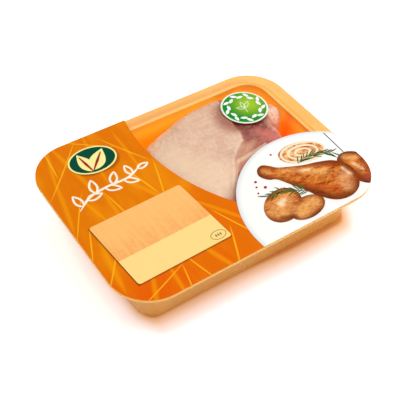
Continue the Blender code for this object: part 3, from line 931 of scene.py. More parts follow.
def meat_material(colours):
    """Moist raw skin, pale and mottled, with rosy bare meat, pale membrane and a thread of fat."""
    material, g, shader, position = new_material("raw skin and meat")
    axes = g.axes(position)
    bare, veil, thread, back = (g.attribute(name) for name in ("bare", "veil", "thread", "back"))
    pale = tuple(min(1.0, value * 1.14 + 0.02) for value in colours.skin)
    skin_mask = mottle(g, position, 45.0, 300.0, 0.38, 0.60, 0.4)
    skin = g.blend(skin_mask, colours.skin_pink, colours.skin)
    skin = g.blend(soft_bar(g, axes, *CREAM_BAR), skin, colours.skin_cream, 0.75)
    skin = g.blend(back, skin, colours.skin_pink, 0.28)
    cells = g.node("ShaderNodeTexVoronoi", {"Vector": position, "Scale": 170.0, "Randomness": 1.0}).outputs[0]
    specks = g.mul(g.sub(1.0, g.step(cells, 0.12, 0.34)), g.add(g.mul(back, 0.65), 0.18))
    patchy = g.step(g.noise(position, 80.0, 2.0), 0.48, 0.62)
    skin = g.blend(g.mul(specks, patchy), skin, pale)
    lines = g.noise(g.stretch(position, (0.16, 1.0, 1.0), -0.96), 330.0, 3.0, 0.6)
    skin = g.blend(g.step(lines, 0.50, 0.66), skin, colours.skin_pink, 0.16)
    skin = g.blend(g.step(lines, 0.46, 0.34), skin, pale, 0.25)
    # Painted light: orange glow from the tray on the back of the skin, below its top.
    tray_glow_rim = g.mul(g.step(axes["Z"], 0.0485, 0.0440), g.mul(back, 0.55))
    skin = g.blend(tray_glow_rim, skin, TRAY_GLOW_SKIN_TONE)
    grain = mottle(g, g.stretch(position, (0.6, 1.0, 1.0), 0.3), 130.0, 420.0, 0.36, 0.64, 0.4)
    meat = g.blend(grain, tinted(colours.meat, 0.66, 0.66, 0.66), tinted(colours.meat, 1.22, 1.25, 1.20))
    meat = g.blend(soft_bar(g, axes, *PINKER_BAR), meat, colours.meat_bright, 0.9)
    lobes = [soft_bar(g, axes, *bar) for bar in LOBE_BARS]
    lobe_grain = g.add(g.mul(grain, 0.45), 0.68, clamp=True)
    meat = g.blend(g.mul(g.most(lobes[0], g.mul(lobes[1], 0.55)), lobe_grain), meat, colours.fat)
    meat = g.blend(g.mul(veil, g.add(g.mul(grain, 0.25), 0.68)), meat, colours.membrane)
    meat = g.blend(soft_bar(g, axes, *SALMON_BAR), meat, SALMON_TONE, 0.85)
    meat = g.blend(thread, meat, colours.fat_thread, 0.6)
    flesh = g.blend(bare, skin, meat)
    height = g.add(g.mul(specks, 0.8), g.mul(g.noise(position, 800.0, 3.0, 0.6), 0.4))
    height = g.add(height, g.mul(g.noise(position, 180.0, 3.0, 0.55), 1.3))
    height = g.add(height, g.mul(lines, 0.6))
    g.wire(shader, {
        "Base Color": g.blend(soft_bar(g, axes, *SHADE_BAR), flesh, SHADE_TONE, mode="MULTIPLY"),
        "Normal": g.bump(height, 0.5, 0.0006),
        "Roughness": g.between(skin_mask, 0.34, 0.50),
        "Subsurface Weight": 0.30,
        "Subsurface Radius": (1.0, 0.4, 0.25),
        "Subsurface Scale": 0.0020,
        "Coat Weight": 0.08,
        "Coat Roughness": 0.22,
    })
    return material


class PACK_OT_drumstick(bpy.types.Operator):
    """Build the raw drumstick in the tray"""

    bl_idname = "pack.drumstick"
    bl_label = "Drumstick"

    def execute(self, context):
        sizes = context.scene.pack_sizes
        points, masks = drumstick_surface(sizes.skin_rings, sizes.skin_points)
        mesh = loft_mesh("raw_drumstick", points)
        add_masks(mesh, masks)
        piece = link_mesh("raw_drumstick", mesh, meat_material(context.scene.pack_colours))
        settle(piece, "meat", "drumstick")
        return {"FINISHED"}


# ---- Lid film ------------------------------------------------------------------------------------
PRINT_MARGIN = 0.3
PRINT_X, PRINT_Y = HALF_LENGTH - PRINT_MARGIN, HALF_WIDTH - PRINT_MARGIN
PRINT_CORNER = LID_CORNER - PRINT_MARGIN
OUTLINE_STEPS = 24


def film_material():
    """Clear film: mostly see-through, with the sheen of its surface."""
    material, g, shader, position = new_material("clear lid film")
    g.wire(shader, {
        "Base Color": (0.95, 0.96, 0.97, 1.0), "Metallic": 1.0, "Roughness": 0.12,
        "Normal": g.bump(g.noise(position, 22.0, 2.0), 0.05, 0.003),
    })
    clear = g.node("ShaderNodeBsdfTransparent", {"Color": (0.985, 0.985, 0.985, 1.0)})
    facing = g.node("ShaderNodeLayerWeight", {"Blend": 0.5}).outputs["Facing"]
    sheen = g.math("POWER", facing, 5.0)
    mixed = g.node("ShaderNodeMixShader", {0: sheen, 1: clear.outputs[0], 2: shader.outputs[0]})
    g.wire(material.node_tree.nodes["Material Output"], {"Surface": mixed.outputs[0]})
    return material


class PACK_OT_lid_film(bpy.types.Operator):
    """Build the clear film that closes the tray"""

    bl_idname = "pack.lid_film"
    bl_label = "Lid Film"

    def execute(self, context):
        outline = rounded_box(-PRINT_X, PRINT_X, -PRINT_Y, PRINT_Y, PRINT_CORNER, OUTLINE_STEPS)
        film = slab("clear_lid_film", outline, FILM_BOX[0][2], FILM_BOX[1][2], film_material())
        settle(film, "lid_film", "lid_film")
        return {"FINISHED"}
# ---- Orange label --------------------------------------------------------------------------------
WINDOW_CENTRE, WINDOW_RADIUS = (150.0, 58.0), 179.4
PLATE_CENTRE, PLATE_RADIUS = (76.0, -85.0), 84.0
PRINT_GAP = 0.3
# The printed panel's middle lies a little off the solid's.
PANEL_CENTRE = (centre_of(PATCH_BOX)[0] + 0.1, centre_of(PATCH_BOX)[1] + 0.5)
PANEL_LENGTH, PANEL_WIDTH, PANEL_CORNER = 89.6, 71.0, 2.5
# The panel's long edges turn less than its short ones.
PANEL_TURN, PANEL_LEAN = radians(1.3), radians(4.3)
PANEL_SPLIT = -7.6
SHADOW_SHIFT, SHADOW_SPREAD, SHADOW_TONE = 0.0006, 0.0011, (0.16, 0.03, 0.001)
BADGE_CENTRE = centre_of(BADGE_BOX)
BADGE_LENGTH, BADGE_WIDTH = (BADGE_BOX[1][k] - BADGE_BOX[0][k] for k in (0, 1))
BADGE_TURN = radians(-3.5)
# Each streak: middle x, middle y, turn in degrees, half length, share of the width, bend per metre.
STREAKS = (
    (-104.0, 66.0, 47.0, 46.0, 0.75, 0.6),
    (-70.0, 84.0, -38.0, 30.0, 0.6, 1.2),
    (-46.0, 62.0, 118.0, 34.0, 0.7, -0.9),
    (-110.0, 78.0, 84.0, 22.0, 0.8, 0.4),
    (-118.0, 12.0, 58.0, 34.0, 0.6, -0.8),
    (-84.0, 6.0, 97.0, 22.0, 0.7, 0.5),
    (-52.0, 20.0, 104.0, 26.0, 0.9, 0.6),
    (-38.0, 14.0, 71.0, 30.0, 0.8, 1.0),
    (-124.0, -20.0, 66.0, 22.0, 0.8, 0.4),
    (-122.0, -52.0, 52.0, 30.0, 0.7, 0.9),
    (-96.0, -84.0, 21.0, 34.0, 0.65, 0.8),
    (-62.0, -86.0, 104.0, 22.0, 0.8, -0.6),
    (-76.0, -88.0, 76.0, 16.0, 0.7, 0.5),
    (-26.0, -82.0, 66.0, 26.0, 0.9, 0.7),
    (-12.0, -62.0, 112.0, 30.0, 0.75, -0.6),
)
# Wide blurred bands, in the same order of values.
BANDS = (
    (-96.0, 60.0, 96.0, 46.0, 3.6, 0.5),
    (-112.0, 74.0, 74.0, 30.0, 3.0, -0.6),
    (-74.0, 66.0, 82.0, 44.0, 2.6, -0.4),
    (-44.0, 60.0, 88.0, 34.0, 2.4, 0.6),
    (-122.0, 30.0, 78.0, 40.0, 3.4, 0.6),
    (-104.0, 14.0, 102.0, 24.0, 2.6, 0.5),
    (-54.0, 8.0, 116.0, 34.0, 3.4, 0.5),
    (-88.0, 12.0, 88.0, 30.0, 2.4, 0.3),
    (-120.0, -44.0, 81.0, 38.0, 4.2, -0.5),
    (-104.0, -84.0, 66.0, 24.0, 3.4, 0.5),
    (-84.0, -84.0, 84.0, 22.0, 2.8, 0.6),
    (-44.0, -84.0, 108.0, 26.0, 3.6, -0.4),
    (-14.0, -44.0, 122.0, 34.0, 3.0, 0.4),
)


def circle_crossing(centre_a, radius_a, centre_b, radius_b):
    """The two crossing points of two circles."""
    dx, dy = centre_b[0] - centre_a[0], centre_b[1] - centre_a[1]
    distance = hypot(dx, dy)
    along = (distance ** 2 + radius_a ** 2 - radius_b ** 2) / (2 * distance)
    across = sqrt(radius_a ** 2 - along ** 2)
    ux, uy = dx / distance, dy / distance
    x, y = centre_a[0] + ux * along, centre_a[1] + uy * along
    return (x - uy * across, y + ux * across), (x + uy * across, y - ux * across)


def angle_at(centre, point):
    """Direction of a point from a centre, from 0 to a full turn."""
    return atan2(point[1] - centre[1], point[0] - centre[0]) % (2 * pi)


def label_outline():
    """The orange field: all of the lid's left, down to the window's arc and round the plate."""
    plate_radius = PLATE_RADIUS + PRINT_GAP
    crossing = min(circle_crossing(WINDOW_CENTRE, WINDOW_RADIUS, PLATE_CENTRE, plate_radius))
    window_top = pi - asin((PRINT_Y - WINDOW_CENTRE[1]) / WINDOW_RADIUS)
    plate_foot = pi + asin((PRINT_Y + PLATE_CENTRE[1]) / plate_radius)
    left, front = PRINT_CORNER - PRINT_X, PRINT_CORNER - PRINT_Y
    outline = arc((left, -front), PRINT_CORNER, pi / 2, pi, OUTLINE_STEPS)
    outline += arc((left, front), PRINT_CORNER, pi, 1.5 * pi, OUTLINE_STEPS)
    outline += arc(PLATE_CENTRE, plate_radius, plate_foot, angle_at(PLATE_CENTRE, crossing), OUTLINE_STEPS)
    window = arc(WINDOW_CENTRE, WINDOW_RADIUS, angle_at(WINDOW_CENTRE, crossing), window_top, OUTLINE_STEPS)
    return outline + window[1:]


def panel_axes(g, axes):
    """Distance along and across the leaning panel, from its middle."""
    dx, dy = offset_from(g, axes, *PANEL_CENTRE)
    along = g.add(g.mul(dx, cos(PANEL_LEAN)), g.mul(dy, sin(PANEL_LEAN)))
    across = g.sub(g.mul(dy, cos(PANEL_TURN)), g.mul(dx, sin(PANEL_TURN)))
    return along, across


def panel_shadow(g, axes):
    """Soft dark edge that is printed along the panel's left and front sides."""
    outside = [
        g.sub(g.math("ABSOLUTE", g.add(reach, SHADOW_SHIFT)), size * MM / 2)
        for reach, size in zip(panel_axes(g, axes), (PANEL_LENGTH, PANEL_WIDTH))
    ]
    return g.sub(1.0, g.step(g.most(*outside), -0.0003, SHADOW_SPREAD))


def streaks_over(g, axes, table, width, core):
    """Mask of a table of streaks."""
    masks = [
        shared(g, "streak", {
            "X": axes["X"], "Y": axes["Y"], "Middle X": x * MM, "Middle Y": y * MM, "Turn": radians(turn),
            "Half Length": half_length * MM, "Half Width": width * share, "Bend": bend, "Core": core,
        })["Mask"]
        for x, y, turn, half_length, share, bend in table
    ]
    return g.most(*masks)


def label_material(colours, streak_width):
    """Orange print: soft patches, redder towards the front, crossed by straw-coloured streaks."""
    material, g, shader, position = new_material("orange label print")
    axes = g.axes(position)
    patches = mottle(g, g.stretch(position, (1.0, 0.35, 1.0), 0.12), 26.0, 90.0, 0.42, 0.82, 0.25)
    orange = g.blend(patches, colours.label, colours.label_light)
    deep = mottle(g, g.stretch(position, (1.0, 0.5, 1.0), -0.2), 17.0, 60.0, 0.42, 0.62, 0.2)
    front = g.step(g.sub(g.mul(axes["X"], 0.35), axes["Y"]), -0.05, 0.075)
    warm = g.mul(front, g.add(g.mul(deep, 0.7), 0.35), clamp=True)
    orange = g.blend(warm, orange, colours.label_warm)
    orange = g.blend(streaks_over(g, axes, BANDS, streak_width, 0.0), orange, colours.label_light, 0.6)
    orange = g.blend(streaks_over(g, axes, STREAKS, streak_width, 0.45), orange, colours.streak, 0.85)
    x, y = BADGE_CENTRE
    under = soft_bar(g, axes, (x - 5.0, y - 1.5), (x + 8.0, y - 2.0), (16.0, 16.0), 1.6)
    shadow = g.most(g.mul(panel_shadow(g, axes), 0.6), g.mul(under, 0.55))
    print_finish(g, shader, position, g.blend(shadow, orange, SHADOW_TONE))
    return material


def leaf_loop(root, tip, width, steps=9):
    """Outline of a pointed leaf from its root to its tip and back."""
    ax, ay = root
    bx, by = tip
    nx, ny = -(by - ay), bx - ax
    length = hypot(nx, ny)
    nx, ny = nx / length, ny / length
    side_a, side_b = [], []
    for i in range(steps + 1):
        t = i / steps
        bulge = width / 2 * sin(pi * t ** 0.8)
        cx, cy = ax + (bx - ax) * t, ay + (by - ay) * t
        side_a.append((cx + nx * bulge, cy + ny * bulge))
        side_b.append((cx - nx * bulge, cy - ny * bulge))
    return side_a, side_b


SPRIG_STEM = ((-114.0, 17.0), (-99.0, 27.0), (-80.0, 30.0), (-60.0, 30.0), (-42.0, 38.0))
SPRIG_LEAVES = (
    (0.10, 62.0, 15.0), (0.20, -28.0, 15.0), (0.34, 68.0, 16.0), (0.46, -36.0, 15.0),
    (0.58, 62.0, 15.0), (0.70, -38.0, 14.0), (0.82, 70.0, 13.0), (0.92, -20.0, 12.0),
)


def build_sprig(material, stroke):
    """White line drawing of a leafy sprig across the label."""
    shapes = FlatShapes()
    bottom, top = PRINT_TOP + INK_GAP, PRINT_TOP + INK
    path = spline(SPRIG_STEM, 12)
    shapes.ribbon(path, stroke, bottom, top)
    for share, turn, length in SPRIG_LEAVES:
        i = int(share * (len(path) - 1))
        (x, y), (next_x, next_y) = path[i], path[i + 1]
        heading = atan2(next_y - y, next_x - x) + radians(turn)
        tip = (x + length * cos(heading), y + length * sin(heading))
        for layer, side in enumerate(leaf_loop((x, y), tip, length * 0.42), 1):
            shapes.ribbon(side, stroke * 0.85, bottom + layer * INK, top + layer * INK, 0.5)
    return shapes.finish("white_sprig", material)


class PACK_OT_label(bpy.types.Operator):
    """Build the orange label print with its white sprig"""

    bl_idname = "pack.label"
    bl_label = "Orange Label"

    def execute(self, context):
        colours, sizes = context.scene.pack_colours, context.scene.pack_sizes
        orange = label_material(colours, sizes.streak_width)
        label = slab("orange_label_print", label_outline(), PRINT_BOX[0][2], PRINT_TOP, orange)
        settle(label, "orange_print", "orange_label")
        white = plain_print("white ink", colours.warm_white, 0.97)
        settle(build_sprig(white, sizes.stroke_width / MM), "white_print")
        return {"FINISHED"}


# ---- Panel and badge -----------------------------------------------------------------------------
RING_MARK = (-31.6, -65.6)


def panel_material(colours):
    """Two tones meeting along a line, the back one with a faint upright grain."""
    material, g, shader, position = new_material("panel print")
    axes = g.axes(position)
    grain = g.noise(g.stretch(position, (1.0, 0.08, 1.0)), 420.0, 3.0, 0.6)
    specks = g.noise(position, 380.0, 3.0, 0.7)
    lower = g.step(g.mul(axes["Y"], -1.0), 0.014, 0.048)
    share = g.step(g.add(g.mul(grain, 0.6), g.mul(specks, 0.4)), 0.42, 0.62)
    share = g.mul(share, g.add(g.mul(lower, 0.45), 0.22))
    share = g.add(share, g.mul(lower, 0.22), clamp=True)
    back = g.blend(share, colours.panel_back, tinted(colours.panel_back, 0.95, 0.72, 0.66))
    faint = mottle(g, position, 50.0, 500.0, 0.4, 0.6)
    front = g.blend(faint, colours.panel_front, tinted(colours.panel_front, 1.0, 0.93, 0.8), 0.25)
    split = g.step(panel_axes(g, axes)[1], (PANEL_SPLIT - 0.15) * MM, (PANEL_SPLIT + 0.15) * MM)
    print_finish(g, shader, position, g.blend(split, front, back), 0.42)
    return material


def panel_outline():
    """The round-cornered panel, leaning a little about its own middle."""
    half_x, half_y = PANEL_LENGTH / 2, PANEL_WIDTH / 2
    outline = []
    for u, v in rounded_box(-half_x, half_x, -half_y, half_y, PANEL_CORNER, 8):
        outline.append((PANEL_CENTRE[0] + u * cos(PANEL_TURN) - v * sin(PANEL_LEAN),
                        PANEL_CENTRE[1] + u * sin(PANEL_TURN) + v * cos(PANEL_LEAN)))
    return outline


class PACK_OT_panel(bpy.types.Operator):
    """Build the bare two-tone panel and its small ring mark"""

    bl_idname = "pack.panel"
    bl_label = "Label Panel"

    def execute(self, context):
        tones = panel_material(context.scene.pack_colours)
        panel = slab("two_tone_panel", panel_outline(), PATCH_BOX[0][2], PATCH_TOP, tones)
        settle(panel, "panel_print", "label_panel")
        mark = FlatShapes()
        bottom, top = PATCH_TOP + INK_GAP, PATCH_TOP + INK
        ring = ellipse(RING_MARK, 13.8, 8.8, 40)
        mark.ribbon(ring + ring[:1], 0.55, bottom, top, 1.0)
        for shift in (-2.2, 0.0, 2.2):
            mark.fill(ellipse((RING_MARK[0] + shift, RING_MARK[1]), 1.3, 3.2, 14), bottom, top)
        settle(mark.finish("ring_mark", plain_print("olive ink", (0.22, 0.19, 0.035))), "panel_print")
        return {"FINISHED"}


BADGE_RIM = 1.6
# Leaves on the badge, from its middle: root, tip and width.
BADGE_LEAVES = (((-6.0, -13.0), (-9.5, 12.5), 12.0), ((-5.0, -12.0), (14.0, 8.5), 14.5))


class PACK_OT_badge(bpy.types.Operator):
    """Build the oval badge: a dark green field in a cream rim, with two broad leaves"""

    bl_idname = "pack.badge"
    bl_label = "Oval Badge"

    def execute(self, context):
        colours = context.scene.pack_colours
        cream = plain_print("cream ink", colours.cream)
        oval, inner = (
            ellipse(BADGE_CENTRE, BADGE_LENGTH - 2 * inset, BADGE_WIDTH - 2 * inset, 72, BADGE_TURN)
            for inset in (0.0, BADGE_RIM)
        )
        settle(slab("badge_oval", oval, BADGE_BOX[0][2], PATCH_TOP, cream), "badge_print", "oval_badge")
        green = plain_print("dark green ink", colours.dark_green)
        top = PATCH_TOP + INK
        settle(slab("badge_field", inner, PATCH_TOP + INK_GAP, top, green), "badge_print")
        leaves, ribs = FlatShapes(), FlatShapes()
        low, high = top + INK_GAP, top + INK
        for root, tip, width in BADGE_LEAVES:
            root, tip = ([a + b for a, b in zip(BADGE_CENTRE, point)] for point in (root, tip))
            side_a, side_b = leaf_loop(root, tip, width, 14)
            leaves.fill(side_a + side_b[-2:0:-1], low, high)
            rib = [[a + (b - a) * share for a, b in zip(root, tip)] for share in (0.0, 0.42, 0.84)]
            ribs.ribbon(rib, 2.6, high + INK_GAP, high + INK, 0.4)
            low, high = low + INK, high + INK
        settle(ribs.finish("badge_ribs", plain_print("dark red ink", colours.dark_red)), "badge_print")
        settle(leaves.finish("badge_leaves", cream), "badge_print")
        return {"FINISHED"}


# ---- Leaves along a path -------------------------------------------------------------------------
LEAF_POINT = 0.55
LEAF_INPUTS = (
    ("Geometry", "NodeSocketGeometry"), ("Leaf Count", "NodeSocketInt"), ("Leaf Length", "NodeSocketFloat"),
    ("Leaf Width", "NodeSocketFloat"), ("Leaf Thickness", "NodeSocketFloat"), ("Splay", "NodeSocketFloat"),
    ("Both Sides", "NodeSocketFloat"), ("Turn Variation", "NodeSocketFloat"),
    ("Size Variation", "NodeSocketFloat"), ("Seed", "NodeSocketInt"), ("Material", "NodeSocketMaterial"),
)


def leaf_tree():
    """Geometry nodes that set small closed leaves along a path, to one side or to both in turn."""
    tree = bpy.data.node_groups.new("Leaves Along Path", "GeometryNodeTree")
    for label, kind in LEAF_INPUTS:
        tree.interface.new_socket(label, in_out="INPUT", socket_type=kind)
    tree.interface.new_socket("Geometry", in_out="OUTPUT", socket_type="NodeSocketGeometry")
    g = Graph(tree)
    put, end = g.node("NodeGroupInput").outputs, g.node("NodeGroupOutput")
    curve = g.node("GeometryNodeMeshToCurve", {"Mesh": put["Geometry"]}).outputs[0]
    spread = g.node("GeometryNodeCurveToPoints", {"Curve": curve, "Count": put["Leaf Count"]}, mode="COUNT")
    tangent = g.axes(spread.outputs["Tangent"])
    heading = g.math("ARCTAN2", tangent["Y"], tangent["X"])
    index = g.node("GeometryNodeInputIndex").outputs[0]
    side = g.sub(1.0, g.mul(g.mul(g.math("MODULO", index, 2.0), put["Both Sides"]), 2.0))
    spins = []
    for shift in (0.0, 1.0):
        seed = g.add(put["Seed"], shift)
        spins.append(g.node("FunctionNodeRandomValue", {2: -1.0, 3: 1.0, "ID": index, "Seed": seed}).outputs[1])
    turn = g.add(g.add(heading, g.mul(side, put["Splay"])), g.mul(spins[0], put["Turn Variation"]))
    size = g.add(1.0, g.mul(spins[1], put["Size Variation"]))
    leaf = g.node("GeometryNodeMeshCylinder", {"Vertices": 14, "Radius": 1.0, "Depth": 1.0}).outputs["Mesh"]
    at = g.axes(g.node("GeometryNodeInputPosition").outputs[0])
    pinch = g.sub(1.0, g.mul(g.mul(at["X"], at["X"]), LEAF_POINT))
    pointed = g.vector(at["X"], g.mul(at["Y"], pinch), at["Z"])
    leaf = g.node("GeometryNodeSetPosition", {"Geometry": leaf, "Position": pointed}).outputs[0]
    half_length, half_width = g.mul(put["Leaf Length"], 0.5), g.mul(put["Leaf Width"], 0.5)
    leaf = g.node("GeometryNodeTransform", {
        "Geometry": leaf, "Translation": g.vector(half_length),
        "Scale": g.vector(half_length, half_width, put["Leaf Thickness"]),
    }).outputs[0]
    rows = g.node("GeometryNodeInstanceOnPoints", {
        "Points": spread.outputs["Points"], "Instance": leaf,
        "Rotation": g.vector(z=turn), "Scale": g.vector(size, size, 1.0),
    }).outputs[0]
    plain = g.node("GeometryNodeRealizeInstances", {"Geometry": rows}).outputs[0]
    finish = g.node("GeometryNodeSetMaterial", {"Geometry": plain, "Material": put["Material"]}).outputs[0]
    g.wire(end, {"Geometry": finish})
    return tree


def grow_leaves(name, paths, height, material, **settings):
    """Grow leaves along flat paths and keep them as one plain mesh object."""
    points, edges = [], []
    for path in paths:
        start = len(points)
        points += [(x * MM, y * MM, height * MM) for x, y in path]
        edges += [(k, k + 1) for k in range(start, len(points) - 1)]
    mesh = bpy.data.meshes.new(name + "_paths")
    mesh.from_pydata(points, edges, [])
    carrier = bpy.data.objects.new(name + "_paths", mesh)
    bpy.context.scene.collection.objects.link(carrier)
    tree = bpy.data.node_groups.get("Leaves Along Path") or leaf_tree()
    modifier = carrier.modifiers.new("Leaves", "NODES")
    modifier.node_group = tree
    sockets = {s.name: s.identifier for s in tree.interface.items_tree if s.in_out == "INPUT"}
    values = {key.replace("_", " ").title(): value for key, value in settings.items()}
    for key, value in {**values, "Material": material}.items():
        modifier[sockets[key]] = value
    bpy.context.view_layer.update()
    evaluated = carrier.evaluated_get(bpy.context.evaluated_depsgraph_get())
    grown = bpy.data.meshes.new_from_object(evaluated)
    grown.name = name
    bpy.data.objects.remove(carrier)
    return link_mesh(name, grown, None, smooth=False)


# ---- Plate print ---------------------------------------------------------------------------------
ROAST_OUTLINE = (
    (113.5, -62.0), (112.0, -75.0), (104.0, -86.0), (91.0, -91.0), (77.0, -88.0), (67.0, -77.0),
    (60.0, -63.0), (53.0, -50.0), (48.0, -41.5), (41.0, -37.5), (37.0, -30.0), (40.0, -23.0),
    (46.5, -20.5), (52.0, -24.5), (57.0, -30.0), (67.0, -35.0), (79.0, -40.0), (93.0, -44.0), (106.0, -50.0),
)
GOLD, DARK_BROWN, CREAM = (0.86, 0.44, 0.14), (0.15, 0.022, 0.003), (0.90, 0.74, 0.50)
ROAST_BODIES = (((92, -67), (46, -29), (17, 4), 5.0), ((90, -66), (70, -48), (18, 8), 5.0))
ROAST_BARS = (
    ((90, -56), (56, -34), (4, 1), 4.0, 0.75, GOLD),
    ((44, -27), (47, -31), (2, 2), 2.5, 0.6, GOLD),
    ((101, -70), (95, -80), (6, 6), 4.0, 0.65, (0.74, 0.36, 0.15)),
    ((106, -62), (107, -70), (1.5, 1.5), 2.0, 0.7, CREAM),
    ((86, -80), (68, -62), (3, 2), 3.5, 0.7, (0.45, 0.055, 0.003)),
    ((72, -44), (80, -47), (1, 1), 1.5, 0.7, CREAM),
    ((80, -62), (96, -58), (2, 1), 3.0, 0.5, DARK_BROWN),
)
SLICE_OUTLINES = (
    ((121.0, -69.0), 34.0, 46.0, 0.25),
    ((34.0, -68.0), 42.0, 31.0, 0.5),
    ((50.0, -81.0), 37.0, 22.0, 0.15),
)
SLICE_BODIES = (
    ((28, -68), (40, -65), (12, 12), 4.0),
    ((44, -82), (57, -80), (7.5, 7.5), 4.0),
    ((120, -60), (124, -80), (8, 7), 5.0),
)
SLICE_BARS = (
    ((28, -70), (40, -64), (10, 8), 6.0, 0.6, GOLD),
    ((33, -66), (38, -64), (3, 2), 2.0, 0.7, CREAM),
    ((42, -83), (58, -79), (6, 6), 5.0, 0.7, GOLD),
    ((24, -79), (34, -84), (2, 2), 2.5, 0.8, DARK_BROWN),
    ((40, -92), (62, -89), (1, 1), 3.0, 0.8, DARK_BROWN),
    ((117, -52), (125, -57), (3, 3), 3.0, 0.7, GOLD),
    ((127, -62), (126, -76), (2, 2), 3.0, 0.8, (0.28, 0.030, 0.012)),
    ((118, -82), (124, -80), (4, 3), 3.0, 0.8, (0.30, 0.045, 0.030)),
    ((118, -62), (121, -72), (1.2, 1.2), 2.0, 0.7, CREAM),
)
PLATE_SHADOWS = (((88, -70), (46, -30), (26, 8), 7.0), ((34, -70), (52, -82), (16, 15), 6.0))
ROSETTE, ROSETTE_LENGTH, ROSETTE_WIDTH, ROSETTE_TURN = (88.0, -26.0), 46.0, 26.0, -0.2
BERRIES = ((30.0, -34.0, 1.5), (27.0, -39.5, 1.2), (33.5, -43.5, 1.7), (24.0, -46.0, 1.1), (62.0, -14.0, 1.2))
GREEN_SPRIGS = (
    ((62.0, -67.0), (53.0, -60.0), (42.0, -55.0), (30.0, -54.0)),
    ((76.0, -36.0), (88.0, -33.0), (100.0, -35.0), (111.0, -41.0)),
)
GREY_LINE = ((121.5, -17.0), (120.5, -46.0))
FOOD_MARGIN = 0.2


def kept_on_lid(outline):
    """Draw the points that lie beyond the lid's printed area in to its edge."""
    half, radius = np.array((PRINT_X, PRINT_Y)) - FOOD_MARGIN, PRINT_CORNER - FOOD_MARGIN
    points = np.clip(np.array(outline), -half, half)
    over = np.maximum(np.abs(points) - half + radius, 0.0)
    reach = np.maximum(np.linalg.norm(over, axis=1, keepdims=True), radius)
    return [tuple(point) for point in points - np.sign(points) * over * (1 - radius / reach)]


def plate_outline():
    """The white disc, cut off by the lid's front edge, right edge and corner."""
    foot = pi + asin((PRINT_Y + PLATE_CENTRE[1]) / PLATE_RADIUS)
    right = acos((PRINT_X - PLATE_CENTRE[0]) / PLATE_RADIUS)
    corner = (PRINT_X - PRINT_CORNER, PRINT_CORNER - PRINT_Y)
    outline = arc(corner, PRINT_CORNER, -pi / 2, 0.0, OUTLINE_STEPS)
    return outline + arc(PLATE_CENTRE, PLATE_RADIUS, right, foot, 4 * OUTLINE_STEPS)


def plate_material(colours):
    """White plate print with a soft grey rim and faint shadows under what lies on it."""
    material, g, shader, position = new_material("plate print")
    axes = g.axes(position)
    reach = g.length(*offset_from(g, axes, *PLATE_CENTRE))
    rim = g.step(reach, (PLATE_RADIUS - 5.5) * MM, (PLATE_RADIUS + 0.5) * MM)
    white = g.blend(rim, colours.white, (0.63, 0.655, 0.67), 0.75)
    shadow = g.most(*(soft_bar(g, axes, *bar) for bar in PLATE_SHADOWS))
    print_finish(g, shader, position, g.blend(shadow, white, (0.60, 0.50, 0.42), 0.15))
    return material


def browned_material(name, bodies, bars):
    """Browned food as fields of colour: bodies with dark rims, and bars that add a share and a colour each."""
    material, g, shader, position = new_material(name)
    axes = g.axes(position)
    grain = mottle(g, g.stretch(position, (0.45, 1.0, 1.0), 0.6), 150.0, 620.0, 0.36, 0.64, 0.5)
    brown = g.blend(grain, (0.30, 0.034, 0.003), (0.76, 0.245, 0.036))
    body = g.most(*(soft_bar(g, axes, *bar) for bar in bodies))
    uneven = g.add(g.mul(grain, 0.5), 0.6)
    brown = g.blend(g.mul(g.sub(1.0, body), uneven, clamp=True), brown, DARK_BROWN)
    for *bar, share, colour in bars:
        mask = g.mul(soft_bar(g, axes, *bar), share)
        brown = g.blend(g.mul(mask, uneven, clamp=True), brown, colour)
    print_finish(g, shader, position, brown)
    return material


def build_plate_food(cream, bottom):
    """Simple printed food on the plate; returns its pieces."""
    step = INK + INK_GAP
    base = ellipse(ROSETTE, ROSETTE_LENGTH, ROSETTE_WIDTH, 48, ROSETTE_TURN)
    warm = mottled_print("rosette print", (0.50, 0.085, 0.010), (0.90, 0.56, 0.24), 150.0, 620.0)
    pieces = [slab("rosette_base", base, bottom, bottom + INK, warm)]
    rings, centre = FlatShapes(), (ROSETTE[0] + 1.0, ROSETTE[1] - 0.5)
    for shrink in (0.92, 0.62, 0.32):
        ring = ellipse(centre, ROSETTE_LENGTH * shrink, ROSETTE_WIDTH * shrink, 36, ROSETTE_TURN)
        rings.ribbon(ring + ring[:1], 2.2, bottom + step, bottom + step + INK, 1.0)
    pieces.append(rings.finish("rosette_rings", cream))
    slices = FlatShapes()
    for k, (centre, length, width, turn) in enumerate(SLICE_OUTLINES):
        outline = kept_on_lid(ellipse(centre, length, width, 48, turn))
        slices.fill(outline, bottom + k * step, bottom + k * step + INK)
    pieces.append(slices.finish("roast_slices", browned_material("slice print", SLICE_BODIES, SLICE_BARS)))
    low, roast = bottom + 3 * step, spline(ROAST_OUTLINE, 6, closed=True)
    browned = browned_material("roast print", ROAST_BODIES, ROAST_BARS)
    pieces.append(slab("roast_leg", roast, low, low + INK, browned))
    berries = FlatShapes()
    for x, y, size in BERRIES:
        berries.fill(ellipse((x, y), 2 * size, 1.7 * size, 12, 0.5), bottom, bottom + INK)
    pieces.append(berries.finish("red_berries", plain_print("berry print", (0.42, 0.010, 0.012))))
    return pieces


